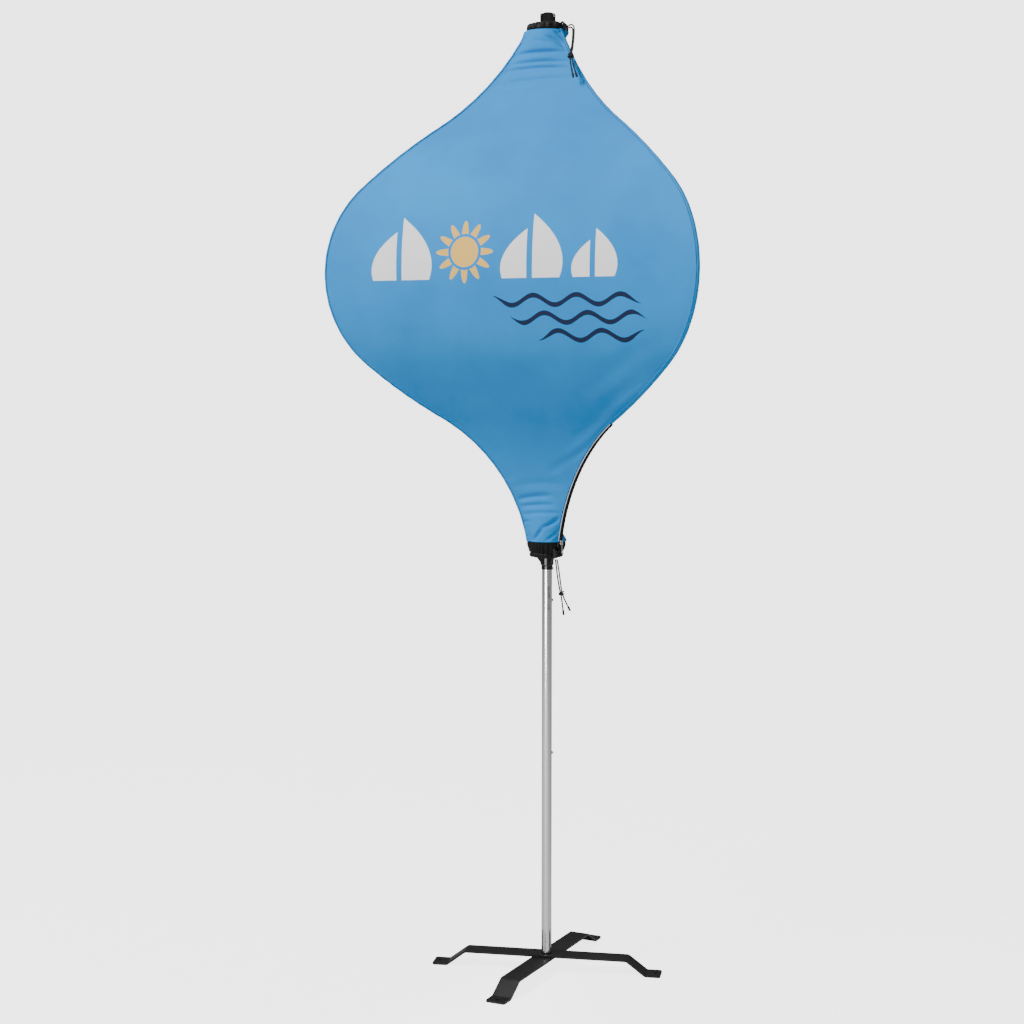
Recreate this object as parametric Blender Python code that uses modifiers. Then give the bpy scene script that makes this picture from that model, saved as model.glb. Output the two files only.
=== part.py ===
"""Lantern banner: three bowed ribs stretch a three-sided cover round a pole that turns on a cross base.

Metres, +Z up. The origin is on the pole's axis at the floor, and the front panel faces -Y.
"""

import math

import bmesh
import bpy
from mathutils import Matrix, Vector

GAP = 0.0003

# Cross base: two arched flat bars, one over the other.
BAR_WIDTH = 0.050
BAR_THICKNESS = 0.005
BAR_FLAT = 0.201
FOOT_START = 0.248
FOOT_TIP = 0.2855
BAR_BEND = 0.010
TIP_CORNER = 0.005
BASE_TOP = 0.040
UPPER_BAR_DEG = 12.2
LOWER_BAR_DEG = 86.6
PEG_HOLE_AT = 0.272
PEG_HOLE_RADIUS = 0.0045

# Spindle, and the bushes between it and the pole.
SPINDLE_RADIUS = 0.007
SPINDLE_TOP = 0.190
SPINDLE_COLLAR_RADIUS = 0.0085
SPINDLE_COLLAR_HEIGHT = 0.006
THREAD_RADIUS = 0.0055
RUNNING_GAP = 0.0003
NUT_HEIGHT = 0.0085
NUT_RADIUS = 0.0098
WASHER_THICKNESS = 0.002
WASHER_RADIUS = 0.012
BUSH_FLANGE = 0.0018
BUSH_LENGTH = 0.034

# Pole: four lengths of tube, each plugged into the next with a ferrule.
TUBE_RADIUS = 0.0125
TUBE_WALL = 0.0015
FERRULE_WALL = 0.0015
FERRULE_REACH = 0.070
JOINT_LOW = 0.507
JOINT_MIDDLE = 1.100
JOINT_HIGH = 1.700
POLE_TOP = 2.3230

# Snap buttons: they look out of the pole in this direction.
BUTTON_DEG = 22.9
BUTTON_RADIUS = 0.0038
BUTTON_PROUD = 0.0035
BUTTON_FLANGE = 0.0010
BUTTON_HOLE_RADIUS = BUTTON_RADIUS + 0.0004
JOINT_BUTTON_Z = 0.543
STOP_BUTTON_Z = 0.921
HUB_BUTTON_Z = 0.9985

# Cover outline at a rib: where it starts (radius, height, lean from vertical), then arcs of
# (radius of the arc, lean at its end). A growing lean bends the rib away from the pole.
OUTLINE_START = (0.0453, 1.0257, 4.45)
OUTLINE_ARCS = ((0.4346, 59.55), (1.230, 49.33), (0.2805, -46.96), (1.371, -56.76), (0.6215, -20.0))
STATION_TURN_DEG = 7.5
STATION_LENGTH = 0.090
RIB_DEG = {"a": 210.0, "b": 330.0, "c": 90.0}
RIB_RADIUS = 0.0035
SLEEVE_WALL = 0.0009
SLEEVE_CLEARANCE = 0.0016
RIB_INSET = RIB_RADIUS + SLEEVE_CLEARANCE + SLEEVE_WALL
RIB_STUB = 0.030
RIB_LOW = 1.072
RIB_HIGH = 2.272
SOCKET_BORE = RIB_RADIUS + 0.0004
SOCKET_RADIUS = SOCKET_BORE + 0.0009
SOCKET_DEPTH = 0.022
WEB_HALF = 0.004

# Cover: three panels and two gathered hems. Near the hubs the cover is round, elsewhere flat-sided.
FABRIC = 0.0008
PANEL_LOW = 1.0658
PANEL_HIGH = 2.2870
PANEL_COLUMNS = 8
# A panel is round below and above these heights, and flat between the inner two.
FRONT_ROUND = ((1.050, 1.180), (2.180, 2.300))
SIDE_ROUND = ((1.058, 1.100), (2.255, 2.295))
HEM_HEIGHT = 0.012
COLLAR_LOW = 1.0263
COLLAR_HIGH = 2.3060

# Hubs.
HUB_LOW_SLEEVE = (TUBE_RADIUS + 0.0015, 0.9965)
HUB_LOW_BOSS = (TUBE_RADIUS + 0.0040, 1.0066, 1.0310)
HUB_TOP_CORE = (TUBE_RADIUS + 0.0040, 2.2620)
HUB_TOP_BOSS = (TUBE_RADIUS + 0.0060, 2.3062, 2.3273)
TOP_PIN_DEG = -13.0
TOP_PIN_Z = 2.3215

# Zip, along rib b's lower arc.
ZIP_RIB = "b"
ZIP_FROM_DEG = 7.0
ZIP_TO_DEG = 57.0
TAPE_HALF = 0.0045
TAPE_THICKNESS = 0.0008
CHAIN_HALF = 0.0022
CHAIN_THICKNESS = 0.0014
PIPING_RADIUS = 0.0008
SLIDER_AT_DEG = 9.94
SLIDER_LENGTH = 0.011
SLIDER_HALF = 0.0043
SLIDER_HEIGHT = 0.0030
CHANNEL_SLACK = 0.0004
BRIDGE_HALF = 0.0036
BRIDGE_HEIGHT = 0.0036
BRIDGE_RADIUS = 0.0006
BRIDGE_SINK = 0.0005
PULL_LIFT = 0.0013
PULL_LENGTH = 0.031
PULL_HALF = 0.0028
PULL_THICKNESS = 0.0010
PULL_TOP = 0.0008
PULL_WINDOW = (0.0030, 0.0068, -0.0041)
PULL_EYE_RADIUS = 0.0015
PULL_EYE_UP = 0.0050

# Drawcords and their spring locks, placed across, outward and up on the side that BUTTON_DEG faces.
CORD_RADIUS = 0.0018
LOCK_RADIUS = 0.0055
LOCK_LENGTH = 0.017
LOCK_BORE = 0.0041
PLUNGER_RADIUS = 0.0037
PLUNGER_PROUD = 0.006
PLUNGER_WALL = 0.0010
PLUNGER_END = 0.0020
PLUNGER_SKIRT = 0.0075
LOCK_FLOOR = 0.0020
LOCK_CHAMFER = 0.0015
LOCK_TRAVEL_ROOM = 0.0050
COIL_RADIUS = 0.0019
COIL_WIRE = 0.0003
COIL_TURNS = 3
KNOT_RADIUS = 0.0063
TIP_RADIUS = 0.0028
TIP_LENGTH = 0.012


# ---------------------------------------------------------------- scene and materials
for old in list(bpy.data.objects):
    bpy.data.objects.remove(old, do_unlink=True)

PARTS = bpy.data.collections.new("lantern_banner")
CUTTERS = bpy.data.collections.new("cutters")
bpy.context.scene.collection.children.link(PARTS)
bpy.context.scene.collection.children.link(CUTTERS)
CUTTERS.hide_render = True


def material(name, colour, roughness, metallic=0.0):
    made = bpy.data.materials.new(name)
    made.use_nodes = True
    shader = made.node_tree.nodes["Principled BSDF"]
    shader.inputs["Base Color"].default_value = (*colour, 1.0)
    shader.inputs["Roughness"].default_value = roughness
    shader.inputs["Metallic"].default_value = metallic
    return made


BLACK_PAINT = ((0.020, 0.020, 0.022), 0.45)
BLACK_PLASTIC = ((0.015, 0.015, 0.016), 0.30)
STEEL = ((0.62, 0.62, 0.63), 0.28, 1.0)
ALUMINIUM = ((0.80, 0.81, 0.83), 0.22, 1.0)
FIBRE = ((0.06, 0.06, 0.055), 0.40)
BLUE_CLOTH = ((0.115, 0.380, 0.660), 0.75)
BLACK_CLOTH = ((0.018, 0.018, 0.020), 0.85)
WHITE_CORD = ((0.75, 0.77, 0.80), 0.70)
CORD_BLACK = ((0.016, 0.016, 0.017), 0.80)


def finish(obj, name, look, smooth_deg=35.0):
    """Names an object, gives it its own material and puts it with the parts."""
    obj.name = name
    obj.data.name = name
    obj.data.materials.clear()
    obj.data.materials.append(material(name, *look))
    if obj.type == "MESH":
        obj.data.shade_smooth()
        obj.data.set_sharp_from_angle(angle=math.radians(smooth_deg))
    for holder in list(obj.users_collection):
        holder.objects.unlink(obj)
    PARTS.objects.link(obj)
    return obj


def new_object(mesh_or_curve):
    made = bpy.data.objects.new(mesh_or_curve.name, mesh_or_curve)
    PARTS.objects.link(made)
    return made


def from_bmesh(bm, name):
    mesh = bpy.data.meshes.new(name)
    bm.to_mesh(mesh)
    bm.free()
    return new_object(mesh)


# ---------------------------------------------------------------- shape helpers
def turned(name, profile, look, steps=20, solid=True):
    """A Screw of a (radius, height) profile that runs down its outer side. A ring's profile is closed."""
    bm = bmesh.new()
    points = [bm.verts.new((radius, 0.0, height)) for radius, height in profile]
    pairs = list(zip(points, points[1:]))
    if not solid:
        pairs.append((points[-1], points[0]))
    for first, second in pairs:
        bm.edges.new((first, second))
    obj = from_bmesh(bm, name)
    screw = obj.modifiers.new("turn", "SCREW")
    screw.steps = steps
    screw.render_steps = steps
    screw.use_merge_vertices = True
    screw.merge_threshold = 0.00001
    return finish(obj, name, look)


def ring(name, outer, inner, low, high, look, steps=20):
    profile = [(outer, high), (outer, low), (inner, low), (inner, high)]
    return turned(name, profile, look, steps, solid=False)


def cylinder(name, radius, start, end, segments=16, outer_end=None):
    """A solid rod, or a cone where outer_end differs, between two points."""
    start = Vector(start)
    along = Vector(end) - start
    bm = bmesh.new()
    bmesh.ops.create_cone(
        bm,
        cap_ends=True,
        segments=segments,
        radius1=radius,
        radius2=radius if outer_end is None else outer_end,
        depth=along.length,
    )
    turn = along.to_track_quat("Z", "Y").to_matrix().to_4x4()
    bm.transform(Matrix.Translation(start + along / 2) @ turn)
    return from_bmesh(bm, name)


def box(name, size, place):
    """A box of this size, moved by the matrix place."""
    bm = bmesh.new()
    bmesh.ops.create_cube(bm, size=1.0)
    bm.transform(place @ Matrix.Diagonal((*size, 1.0)))
    return from_bmesh(bm, name)


def use_as_cutter(obj):
    obj.hide_render = True
    obj.display_type = "WIRE"
    for holder in list(obj.users_collection):
        holder.objects.unlink(obj)
    CUTTERS.objects.link(obj)
    return obj


def boolean(target, other, operation):
    use_as_cutter(other)
    step = target.modifiers.new(other.name, "BOOLEAN")
    step.operation = operation
    step.object = other
    return target


def cut(target, other):
    return boolean(target, other, "DIFFERENCE")


def join(target, other):
    return boolean(target, other, "UNION")


def rounded_path(corners, radius, segments=3):
    """A 2D path whose inner corners are arcs of this radius."""
    path = [Vector(corners[0])]
    for before, corner, after in zip(corners, corners[1:], corners[2:]):
        corner = Vector(corner)
        back = (Vector(before) - corner).normalized()
        ahead = (Vector(after) - corner).normalized()
        half = back.angle(ahead) / 2
        reach = radius / math.tan(half)
        centre = corner + (back + ahead).normalized() * (radius / math.sin(half))
        first = corner + back * reach - centre
        last = corner + ahead * reach - centre
        for index in range(segments + 1):
            share = index / segments
            path.append(centre + (first * (1 - share) + last * share).normalized() * radius)
    path.append(Vector(corners[-1]))
    return path


def strip(name, path, width, thickness, place, corner=0.0):
    """A flat bar: a (length, height) path widened across, thickened upward and moved by place."""
    bm = bmesh.new()
    rows = []
    for along, height in path:
        rows.append([bm.verts.new((along, side * width / 2, height)) for side in (-1, 1)])
    for low, high in zip(rows, rows[1:]):
        bm.faces.new((low[0], high[0], high[1], low[1]))
    if corner:
        ends = rows[0] + rows[-1]
        bmesh.ops.bevel(bm, geom=ends, offset=corner, segments=2, affect="VERTICES", profile=0.5)
    bm.transform(place)
    obj = from_bmesh(bm, name)
    thick = obj.modifiers.new("thickness", "SOLIDIFY")
    thick.thickness = thickness
    thick.offset = 1.0
    thick.use_even_offset = True
    return obj


def outline_plate(name, outline, half, place):
    """A flat outline, extruded both ways and moved by place, as a mesh that can be joined."""
    curve = bpy.data.curves.new(name, "CURVE")
    curve.dimensions = "2D"
    curve.fill_mode = "BOTH"
    curve.extrude = half
    spline = curve.splines.new("POLY")
    spline.points.add(len(outline) - 1)
    for point, (across, up) in zip(spline.points, outline):
        point.co = (across, up, 0.0, 1.0)
    spline.use_cyclic_u = True
    return curve_to_mesh(new_object(curve), place)


def curve_to_mesh(obj, place):
    """The curve's evaluated shape as a mesh with its caps welded; the curve is removed."""
    obj.matrix_world = place
    bpy.context.view_layer.update()
    graph = bpy.context.evaluated_depsgraph_get()
    mesh = bpy.data.meshes.new_from_object(obj.evaluated_get(graph))
    bm = bmesh.new()
    bm.from_mesh(mesh)
    bmesh.ops.remove_doubles(bm, verts=bm.verts, dist=0.00001)
    bmesh.ops.recalc_face_normals(bm, faces=bm.faces)
    bm.to_mesh(mesh)
    bm.free()
    mesh.name = obj.name + "_mesh"
    made = new_object(mesh)
    made.matrix_world = obj.matrix_world.copy()
    bpy.data.objects.remove(obj)
    return made


def tube_along(name, points, radius, resolution=2, caps=True):
    curve = bpy.data.curves.new(name, "CURVE")
    curve.dimensions = "3D"
    curve.bevel_depth = radius
    curve.bevel_resolution = resolution
    curve.use_fill_caps = caps
    spline = curve.splines.new("POLY")
    spline.points.add(len(points) - 1)
    for point, place in zip(spline.points, points):
        point.co = (*place, 1.0)
    return new_object(curve)


def smooth_route(points, count):
    """Evenly spread points on a smooth curve through the route's own points."""
    points = [Vector(point) for point in points]
    ends = [2 * points[0] - points[1], *points, 2 * points[-1] - points[-2]]
    fine = []
    for a, b, c, d in zip(ends, ends[1:], ends[2:], ends[3:]):
        for index in range(24):
            t = index / 24
            bend = (2 * a - 5 * b + 4 * c - d) * t * t + (3 * b - a - 3 * c + d) * t**3
            fine.append(b + ((c - a) * t + bend) / 2)
    fine.append(points[-1])
    lengths = [0.0]
    for first, second in zip(fine, fine[1:]):
        lengths.append(lengths[-1] + (second - first).length)
    spread = []
    at = 0
    for index in range(count):
        wanted = lengths[-1] * index / (count - 1)
        while at < len(fine) - 2 and lengths[at + 1] < wanted:
            at += 1
        share = (wanted - lengths[at]) / (lengths[at + 1] - lengths[at])
        spread.append(fine[at].lerp(fine[at + 1], share))
    return spread


# ---------------------------------------------------------------- the cover's outline
def outline_arcs():
    """Each arc as (length before it, its length, radius, height, lean, arc radius, signed turn)."""
    radius, height, lean = OUTLINE_START
    lean = math.radians(lean)
    before = 0.0
    found = []
    for arc, end in OUTLINE_ARCS:
        end = math.radians(end)
        turn = 1.0 if end > lean else -1.0
        length = arc * abs(end - lean)
        found.append((before, length, radius, height, lean, arc, turn))
        radius += turn * arc * (math.cos(lean) - math.cos(end))
        height += turn * arc * (math.sin(end) - math.sin(lean))
        before += length
        lean = end
    return found


ARCS = outline_arcs()


def outline_at(length):
    """(radius, height, lean) of the cover's outline this far along it."""
    for before, arc_length, radius, height, lean, arc, turn in ARCS:
        if length <= before + arc_length or arc_length == ARCS[-1][1]:
            now = lean + turn * (length - before) / arc
            radius += turn * arc * (math.cos(lean) - math.cos(now))
            height += turn * arc * (math.sin(now) - math.sin(lean))
            return radius, height, now


def length_at(height):
    low = 0.0
    high = ARCS[-1][0] + ARCS[-1][1]
    for _ in range(48):
        middle = (low + high) / 2
        if outline_at(middle)[1] < height:
            low = middle
        else:
            high = middle
    return low


def outline_radius(height):
    return outline_at(length_at(height))[0]


def stations(low, high):
    """Outline stations between two heights, close together where the rib bends most."""
    start = length_at(low)
    end = length_at(high)
    lengths = [start]
    for before, length, _, _, _, arc, _ in ARCS:
        turn = math.degrees(length / arc)
        count = max(math.ceil(turn / STATION_TURN_DEG), math.ceil(length / STATION_LENGTH))
        for index in range(1, count + 1):
            at = before + length * index / count
            if start + 0.010 < at < end - SOCKET_DEPTH - 0.010:
                lengths.append(at)
    lengths += [end - SOCKET_DEPTH, end]
    return [outline_at(length) for length in lengths]


def rib_direction(rib):
    angle = math.radians(RIB_DEG[rib])
    return Vector((math.cos(angle), math.sin(angle), 0.0))


def rib_point(rib, station, inset):
    radius, height, lean = station
    out = radius - inset * math.cos(lean)
    return rib_direction(rib) * out + Vector((0.0, 0.0, height + inset * math.sin(lean)))


def rib_line(rib, low, high):
    return [rib_point(rib, station, RIB_INSET) for station in stations(low, high)]


def rib_tangent(rib, height):
    lean = outline_at(length_at(height))[2]
    return rib_direction(rib) * math.sin(lean) + Vector((0.0, 0.0, math.cos(lean)))


def roundness(height, limits):
    """1 where the cover is gathered round a hub, 0 where its panels are flat."""
    low, high = limits[0]
    share = min(max((high - height) / (high - low), 0.0), 1.0)
    low, high = limits[1]
    share = max(share, min(max((height - low) / (high - low), 0.0), 1.0))
    return share * share * (3 - 2 * share)


# ---------------------------------------------------------------- base
def bar_direction(degrees):
    return Matrix.Rotation(math.radians(degrees), 4, "Z")


def base_bar(name, underside, degrees):
    corners = [
        (-FOOT_TIP, 0.0),
        (-FOOT_START, 0.0),
        (-BAR_FLAT, underside),
        (BAR_FLAT, underside),
        (FOOT_START, 0.0),
        (FOOT_TIP, 0.0),
    ]
    turn = bar_direction(degrees)
    path = rounded_path(corners, BAR_BEND)
    bar = strip(name, path, BAR_WIDTH, BAR_THICKNESS, turn, TIP_CORNER)
    for side in (-1, 1):
        place = turn @ Vector((side * PEG_HOLE_AT, 0.0, 0.0))
        low = place - Vector((0.0, 0.0, 0.01))
        high = place + Vector((0.0, 0.0, 0.02))
        cut(bar, cylinder(f"{name}_peg_cut{side}", PEG_HOLE_RADIUS, low, high))
    pivot = cylinder(f"{name}_pivot_cut", THREAD_RADIUS + 0.0005, (0, 0, 0.01), (0, 0, 0.06))
    cut(bar, pivot)
    return finish(bar, name, BLACK_PAINT)


UPPER_UNDERSIDE = BASE_TOP - BAR_THICKNESS
LOWER_UNDERSIDE = UPPER_UNDERSIDE - GAP - BAR_THICKNESS
COLLAR_BASE = BASE_TOP + GAP
COLLAR_TOP = COLLAR_BASE + SPINDLE_COLLAR_HEIGHT
WASHER_TOP = LOWER_UNDERSIDE - GAP
NUT_TOP = WASHER_TOP - WASHER_THICKNESS - GAP
THREAD_LOW = NUT_TOP - NUT_HEIGHT - 0.0015
BUSH_LOW = BASE_TOP + 2 * RUNNING_GAP
BUSH_RADIUS = TUBE_RADIUS - TUBE_WALL - GAP
BUSH_BORE = SPINDLE_RADIUS + RUNNING_GAP


def base():
    base_bar("base_bar_lower", LOWER_UNDERSIDE, LOWER_BAR_DEG)
    base_bar("base_bar_upper", UPPER_UNDERSIDE, UPPER_BAR_DEG)
    turned(
        "spindle",
        [
            (0.0, SPINDLE_TOP),
            (SPINDLE_RADIUS - 0.0015, SPINDLE_TOP),
            (SPINDLE_RADIUS, SPINDLE_TOP - 0.002),
            (SPINDLE_RADIUS, COLLAR_TOP),
            (SPINDLE_COLLAR_RADIUS, COLLAR_TOP),
            (SPINDLE_COLLAR_RADIUS, COLLAR_BASE),
            (THREAD_RADIUS, COLLAR_BASE),
            (THREAD_RADIUS, THREAD_LOW),
            (0.0, THREAD_LOW),
        ],
        STEEL,
    )
    ring(
        "pivot_washer", WASHER_RADIUS, THREAD_RADIUS + GAP, WASHER_TOP - WASHER_THICKNESS,
        WASHER_TOP, STEEL,
    )
    nut = cylinder("pivot_nut", NUT_RADIUS, (0, 0, NUT_TOP - NUT_HEIGHT), (0, 0, NUT_TOP), segments=6)
    bore_low, bore_high = (0, 0, NUT_TOP - NUT_HEIGHT - 0.004), (0, 0, NUT_TOP + 0.004)
    cut(nut, cylinder("nut_bore_cut", THREAD_RADIUS + GAP, bore_low, bore_high))
    finish(nut, "pivot_nut", STEEL)
    step = COLLAR_TOP + RUNNING_GAP
    wide = SPINDLE_COLLAR_RADIUS + RUNNING_GAP
    turned(
        "pole_foot_bush",
        [
            (BUSH_RADIUS, BUSH_LOW + BUSH_LENGTH),
            (BUSH_RADIUS, BUSH_LOW + BUSH_FLANGE),
            (TUBE_RADIUS, BUSH_LOW + BUSH_FLANGE),
            (TUBE_RADIUS, BUSH_LOW),
            (wide, BUSH_LOW),
            (wide, step),
            (BUSH_BORE, step),
            (BUSH_BORE, BUSH_LOW + BUSH_LENGTH),
        ],
        BLACK_PLASTIC,
        solid=False,
    )
    ring(
        "spindle_top_bush", BUSH_RADIUS, BUSH_BORE, SPINDLE_TOP - 0.025, SPINDLE_TOP - 0.005,
        BLACK_PLASTIC,
    )


# ---------------------------------------------------------------- pole and snap buttons
POLE_FOOT = BUSH_LOW + BUSH_FLANGE + GAP
BUTTON_OUT = Vector((math.cos(math.radians(BUTTON_DEG)), math.sin(math.radians(BUTTON_DEG)), 0.0))
FERRULE_OUTER = TUBE_RADIUS - TUBE_WALL - GAP
FERRULE_INNER = FERRULE_OUTER - FERRULE_WALL


def button_hole(name, height, radius=BUTTON_HOLE_RADIUS):
    start = Vector((0.0, 0.0, height))
    return cylinder(name, radius, start, start + BUTTON_OUT * 0.030, segments=12)


def pole():
    inner = TUBE_RADIUS - TUBE_WALL
    ring("pole_lower", TUBE_RADIUS, inner, POLE_FOOT, JOINT_LOW, ALUMINIUM)
    middle = ring("pole_middle", TUBE_RADIUS, inner, JOINT_LOW + GAP, JOINT_MIDDLE, ALUMINIUM)
    for name, height in (("joint", JOINT_BUTTON_Z), ("stop", STOP_BUTTON_Z), ("hub", HUB_BUTTON_Z)):
        cut(middle, button_hole(f"pole_{name}_cut", height))
    ring("pole_upper", TUBE_RADIUS, inner, JOINT_MIDDLE + GAP, JOINT_HIGH, ALUMINIUM)
    ring("pole_top", TUBE_RADIUS, inner, JOINT_HIGH + GAP, POLE_TOP, ALUMINIUM)
    joints = (("lower", JOINT_LOW), ("middle", JOINT_MIDDLE), ("upper", JOINT_HIGH))
    for name, height in joints:
        low = height - FERRULE_REACH
        high = height + FERRULE_REACH
        plug = ring(f"ferrule_{name}", FERRULE_OUTER, FERRULE_INNER, low, high, ALUMINIUM)
        if name == "lower":
            cut(plug, button_hole("ferrule_button_cut", JOINT_BUTTON_Z))


def snap_button(name, height, wall):
    """A domed button, its flange and its rivet tail, on a leaf spring that spans the tube."""
    centre = Vector((0.0, 0.0, height))
    outer = TUBE_RADIUS + BUTTON_PROUD
    rim = BUTTON_RADIUS + 0.0010
    flange = math.sqrt(wall**2 - rim**2) - GAP
    profile = [
        (0.0, outer),
        (BUTTON_RADIUS * 0.55, outer - 0.0004),
        (BUTTON_RADIUS * 0.88, outer - 0.0014),
        (BUTTON_RADIUS, outer - 0.0028),
        (BUTTON_RADIUS, flange),
        (rim, flange),
        (rim, flange - BUTTON_FLANGE),
        (0.0012, flange - BUTTON_FLANGE),
        (0.0012, 0.0010),
        (0.0, 0.0010),
    ]
    button = turned(f"{name}_button", profile, STEEL, steps=12)
    aim = BUTTON_OUT.to_track_quat("Z", "Y").to_matrix().to_4x4()
    button.matrix_world = Matrix.Translation(centre) @ aim
    across = Matrix.Translation(centre) @ Matrix.Rotation(math.radians(BUTTON_DEG), 4, "Z")
    near = 0.0022
    far = 0.0015 - wall
    bend = (near - far) / 2
    leaf_path = [(near, 0.010), (near, -0.022)]
    for index in range(1, 6):
        angle = math.pi * index / 6
        leaf_path.append((near - bend + bend * math.cos(angle), -0.022 - bend * math.sin(angle)))
    leaf_path += [(far, -0.022), (far, 0.010)]
    leaf = strip(f"{name}_spring", leaf_path, 0.006, 0.0004, across)
    hole = cylinder(f"{name}_spring_cut", 0.0016, centre, centre + BUTTON_OUT * 0.006, segments=12)
    cut(leaf, hole)
    finish(leaf, f"{name}_spring", STEEL)


def snap_buttons():
    snap_button("joint", JOINT_BUTTON_Z, FERRULE_INNER)
    snap_button("stop", STOP_BUTTON_Z, TUBE_RADIUS - TUBE_WALL)
    snap_button("hub", HUB_BUTTON_Z, TUBE_RADIUS - TUBE_WALL)


# ---------------------------------------------------------------- hubs and ribs
def radial_plane(rib):
    """Maps an outline's (radius, height) into the rib's upright plane."""
    out = rib_direction(rib)
    aside = out.cross(Vector((0.0, 0.0, 1.0)))
    place = Matrix((out, Vector((0.0, 0.0, 1.0)), aside)).transposed().to_4x4()
    return place


def rib_ends(rib):
    """The rib's foot in the bottom hub, its line, and its direction in the top hub's socket."""
    line = rib_line(rib, RIB_LOW, RIB_HIGH)
    foot = line[0] - rib_tangent(rib, RIB_LOW) * RIB_STUB
    return foot, line, (line[-1] - line[-2]).normalized()


def bottom_hub():
    radius, low = HUB_LOW_SLEEVE
    boss, boss_low, boss_high = HUB_LOW_BOSS
    hub = turned(
        "bottom_hub",
        [
            (boss, boss_high),
            (boss, boss_low + 0.002),
            (boss - 0.002, boss_low),
            (radius, boss_low),
            (radius, low),
            (TUBE_RADIUS + RUNNING_GAP, low),
            (TUBE_RADIUS + RUNNING_GAP, boss_high),
        ],
        BLACK_PLASTIC,
        steps=20,
        solid=False,
    )
    for rib in RIB_DEG:
        foot = rib_ends(rib)[0]
        along = rib_tangent(rib, RIB_LOW)
        reach = math.hypot(foot.x, foot.y)
        web = [
            (boss - 0.002, boss_low + 0.004),
            (reach - 0.003, foot.z - 0.002),
            (reach + 0.001, foot.z + 0.018),
            (reach - 0.004, foot.z + 0.018),
            (boss - 0.002, boss_high - 0.001),
        ]
        join(hub, outline_plate(f"hub_web_{rib}", web, WEB_HALF, radial_plane(rib)))
        start = foot - along * 0.003
        join(hub, cylinder(f"hub_socket_{rib}", SOCKET_RADIUS, start, foot + along * SOCKET_DEPTH, 12))
    for rib in RIB_DEG:
        foot = rib_ends(rib)[0]
        along = rib_tangent(rib, RIB_LOW)
        start = foot - along * GAP
        cut(hub, cylinder(f"hub_bore_{rib}", SOCKET_BORE, start, foot + along * 0.040, 12))
    cut(hub, button_hole("hub_button_cut", HUB_BUTTON_Z, BUTTON_HOLE_RADIUS + 0.0003))
    return hub


def top_hub():
    core, low = HUB_TOP_CORE
    boss, boss_low, boss_high = HUB_TOP_BOSS
    bore = TUBE_RADIUS + GAP
    hub = turned(
        "top_hub",
        [
            (0.0, boss_high),
            (boss - 0.001, boss_high),
            (boss, boss_high - 0.001),
            (boss, boss_low),
            (core, boss_low - 0.002),
            (core, low),
            (bore, low),
            (bore, POLE_TOP + GAP),
            (0.0, POLE_TOP + GAP),
        ],
        BLACK_PLASTIC,
        steps=20,
    )
    for rib in RIB_DEG:
        _, line, along = rib_ends(rib)
        end = line[-1]
        reach = math.hypot(end.x, end.y)
        web = [
            (core - 0.002, low + 0.004),
            (reach - 0.001, end.z - 0.006),
            (reach - 0.001, end.z + 0.004),
            (core - 0.002, low + 0.032),
        ]
        join(hub, outline_plate(f"top_web_{rib}", web, WEB_HALF, radial_plane(rib)))
        tip = end + along * 0.003
        start = end - along * SOCKET_DEPTH
        join(hub, cylinder(f"top_socket_{rib}", SOCKET_RADIUS, start, tip, 12))
    for rib in RIB_DEG:
        _, line, along = rib_ends(rib)
        start = line[-1] - along * (SOCKET_DEPTH + 0.020)
        cut(hub, cylinder(f"top_bore_{rib}", SOCKET_BORE, start, line[-1] + along * GAP, 12))
    angle = math.radians(TOP_PIN_DEG)
    out = Vector((math.cos(angle), math.sin(angle), 0.0))
    centre = Vector((0.0, 0.0, TOP_PIN_Z))
    head = centre + out * (boss + GAP)
    cut(hub, cylinder("top_pin_cut", 0.0023, centre + out * (boss - 0.004), centre + out * 0.03, 12))
    pin = turned(
        "top_hub_pin",
        [
            (0.0, 0.0026),
            (0.0026, 0.0021),
            (0.0044, 0.0008),
            (0.0046, 0.0),
            (0.0020, 0.0),
            (0.0020, -0.0038),
            (0.0, -0.0038),
        ],
        STEEL,
        steps=20,
    )
    pin.matrix_world = Matrix.Translation(head) @ out.to_track_quat("Z", "Y").to_matrix().to_4x4()
    turned(
        "top_cap",
        [
            (0.0, boss_high + 0.0038),
            (0.0070, boss_high + 0.0034),
            (0.0115, boss_high + 0.0020),
            (0.0125, boss_high + GAP),
            (0.0, boss_high + GAP),
        ],
        BLACK_PLASTIC,
    )
    return hub


def ribs():
    for rib in RIB_DEG:
        foot, line, _ = rib_ends(rib)
        finish(tube_along(f"rib_{rib}", [foot, *line], RIB_RADIUS, 2), f"rib_{rib}", FIBRE)


# ---------------------------------------------------------------- cover
SLEEVE_LOW = RIB_LOW + 0.006
SLEEVE_HIGH = RIB_HIGH - SOCKET_DEPTH - 0.004


def sleeves():
    """A pocket of cloth round each rib: an open tube, thickened inward."""
    for rib in RIB_DEG:
        line = rib_line(rib, SLEEVE_LOW, SLEEVE_HIGH)
        pocket = tube_along(f"sleeve_{rib}", line, RIB_INSET, 1, caps=False)
        pocket = curve_to_mesh(pocket, Matrix())
        wall = pocket.modifiers.new("cloth", "SOLIDIFY")
        wall.thickness = SLEEVE_WALL
        wall.offset = -1.0
        finish(pocket, f"sleeve_{rib}", BLUE_CLOTH)


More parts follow.
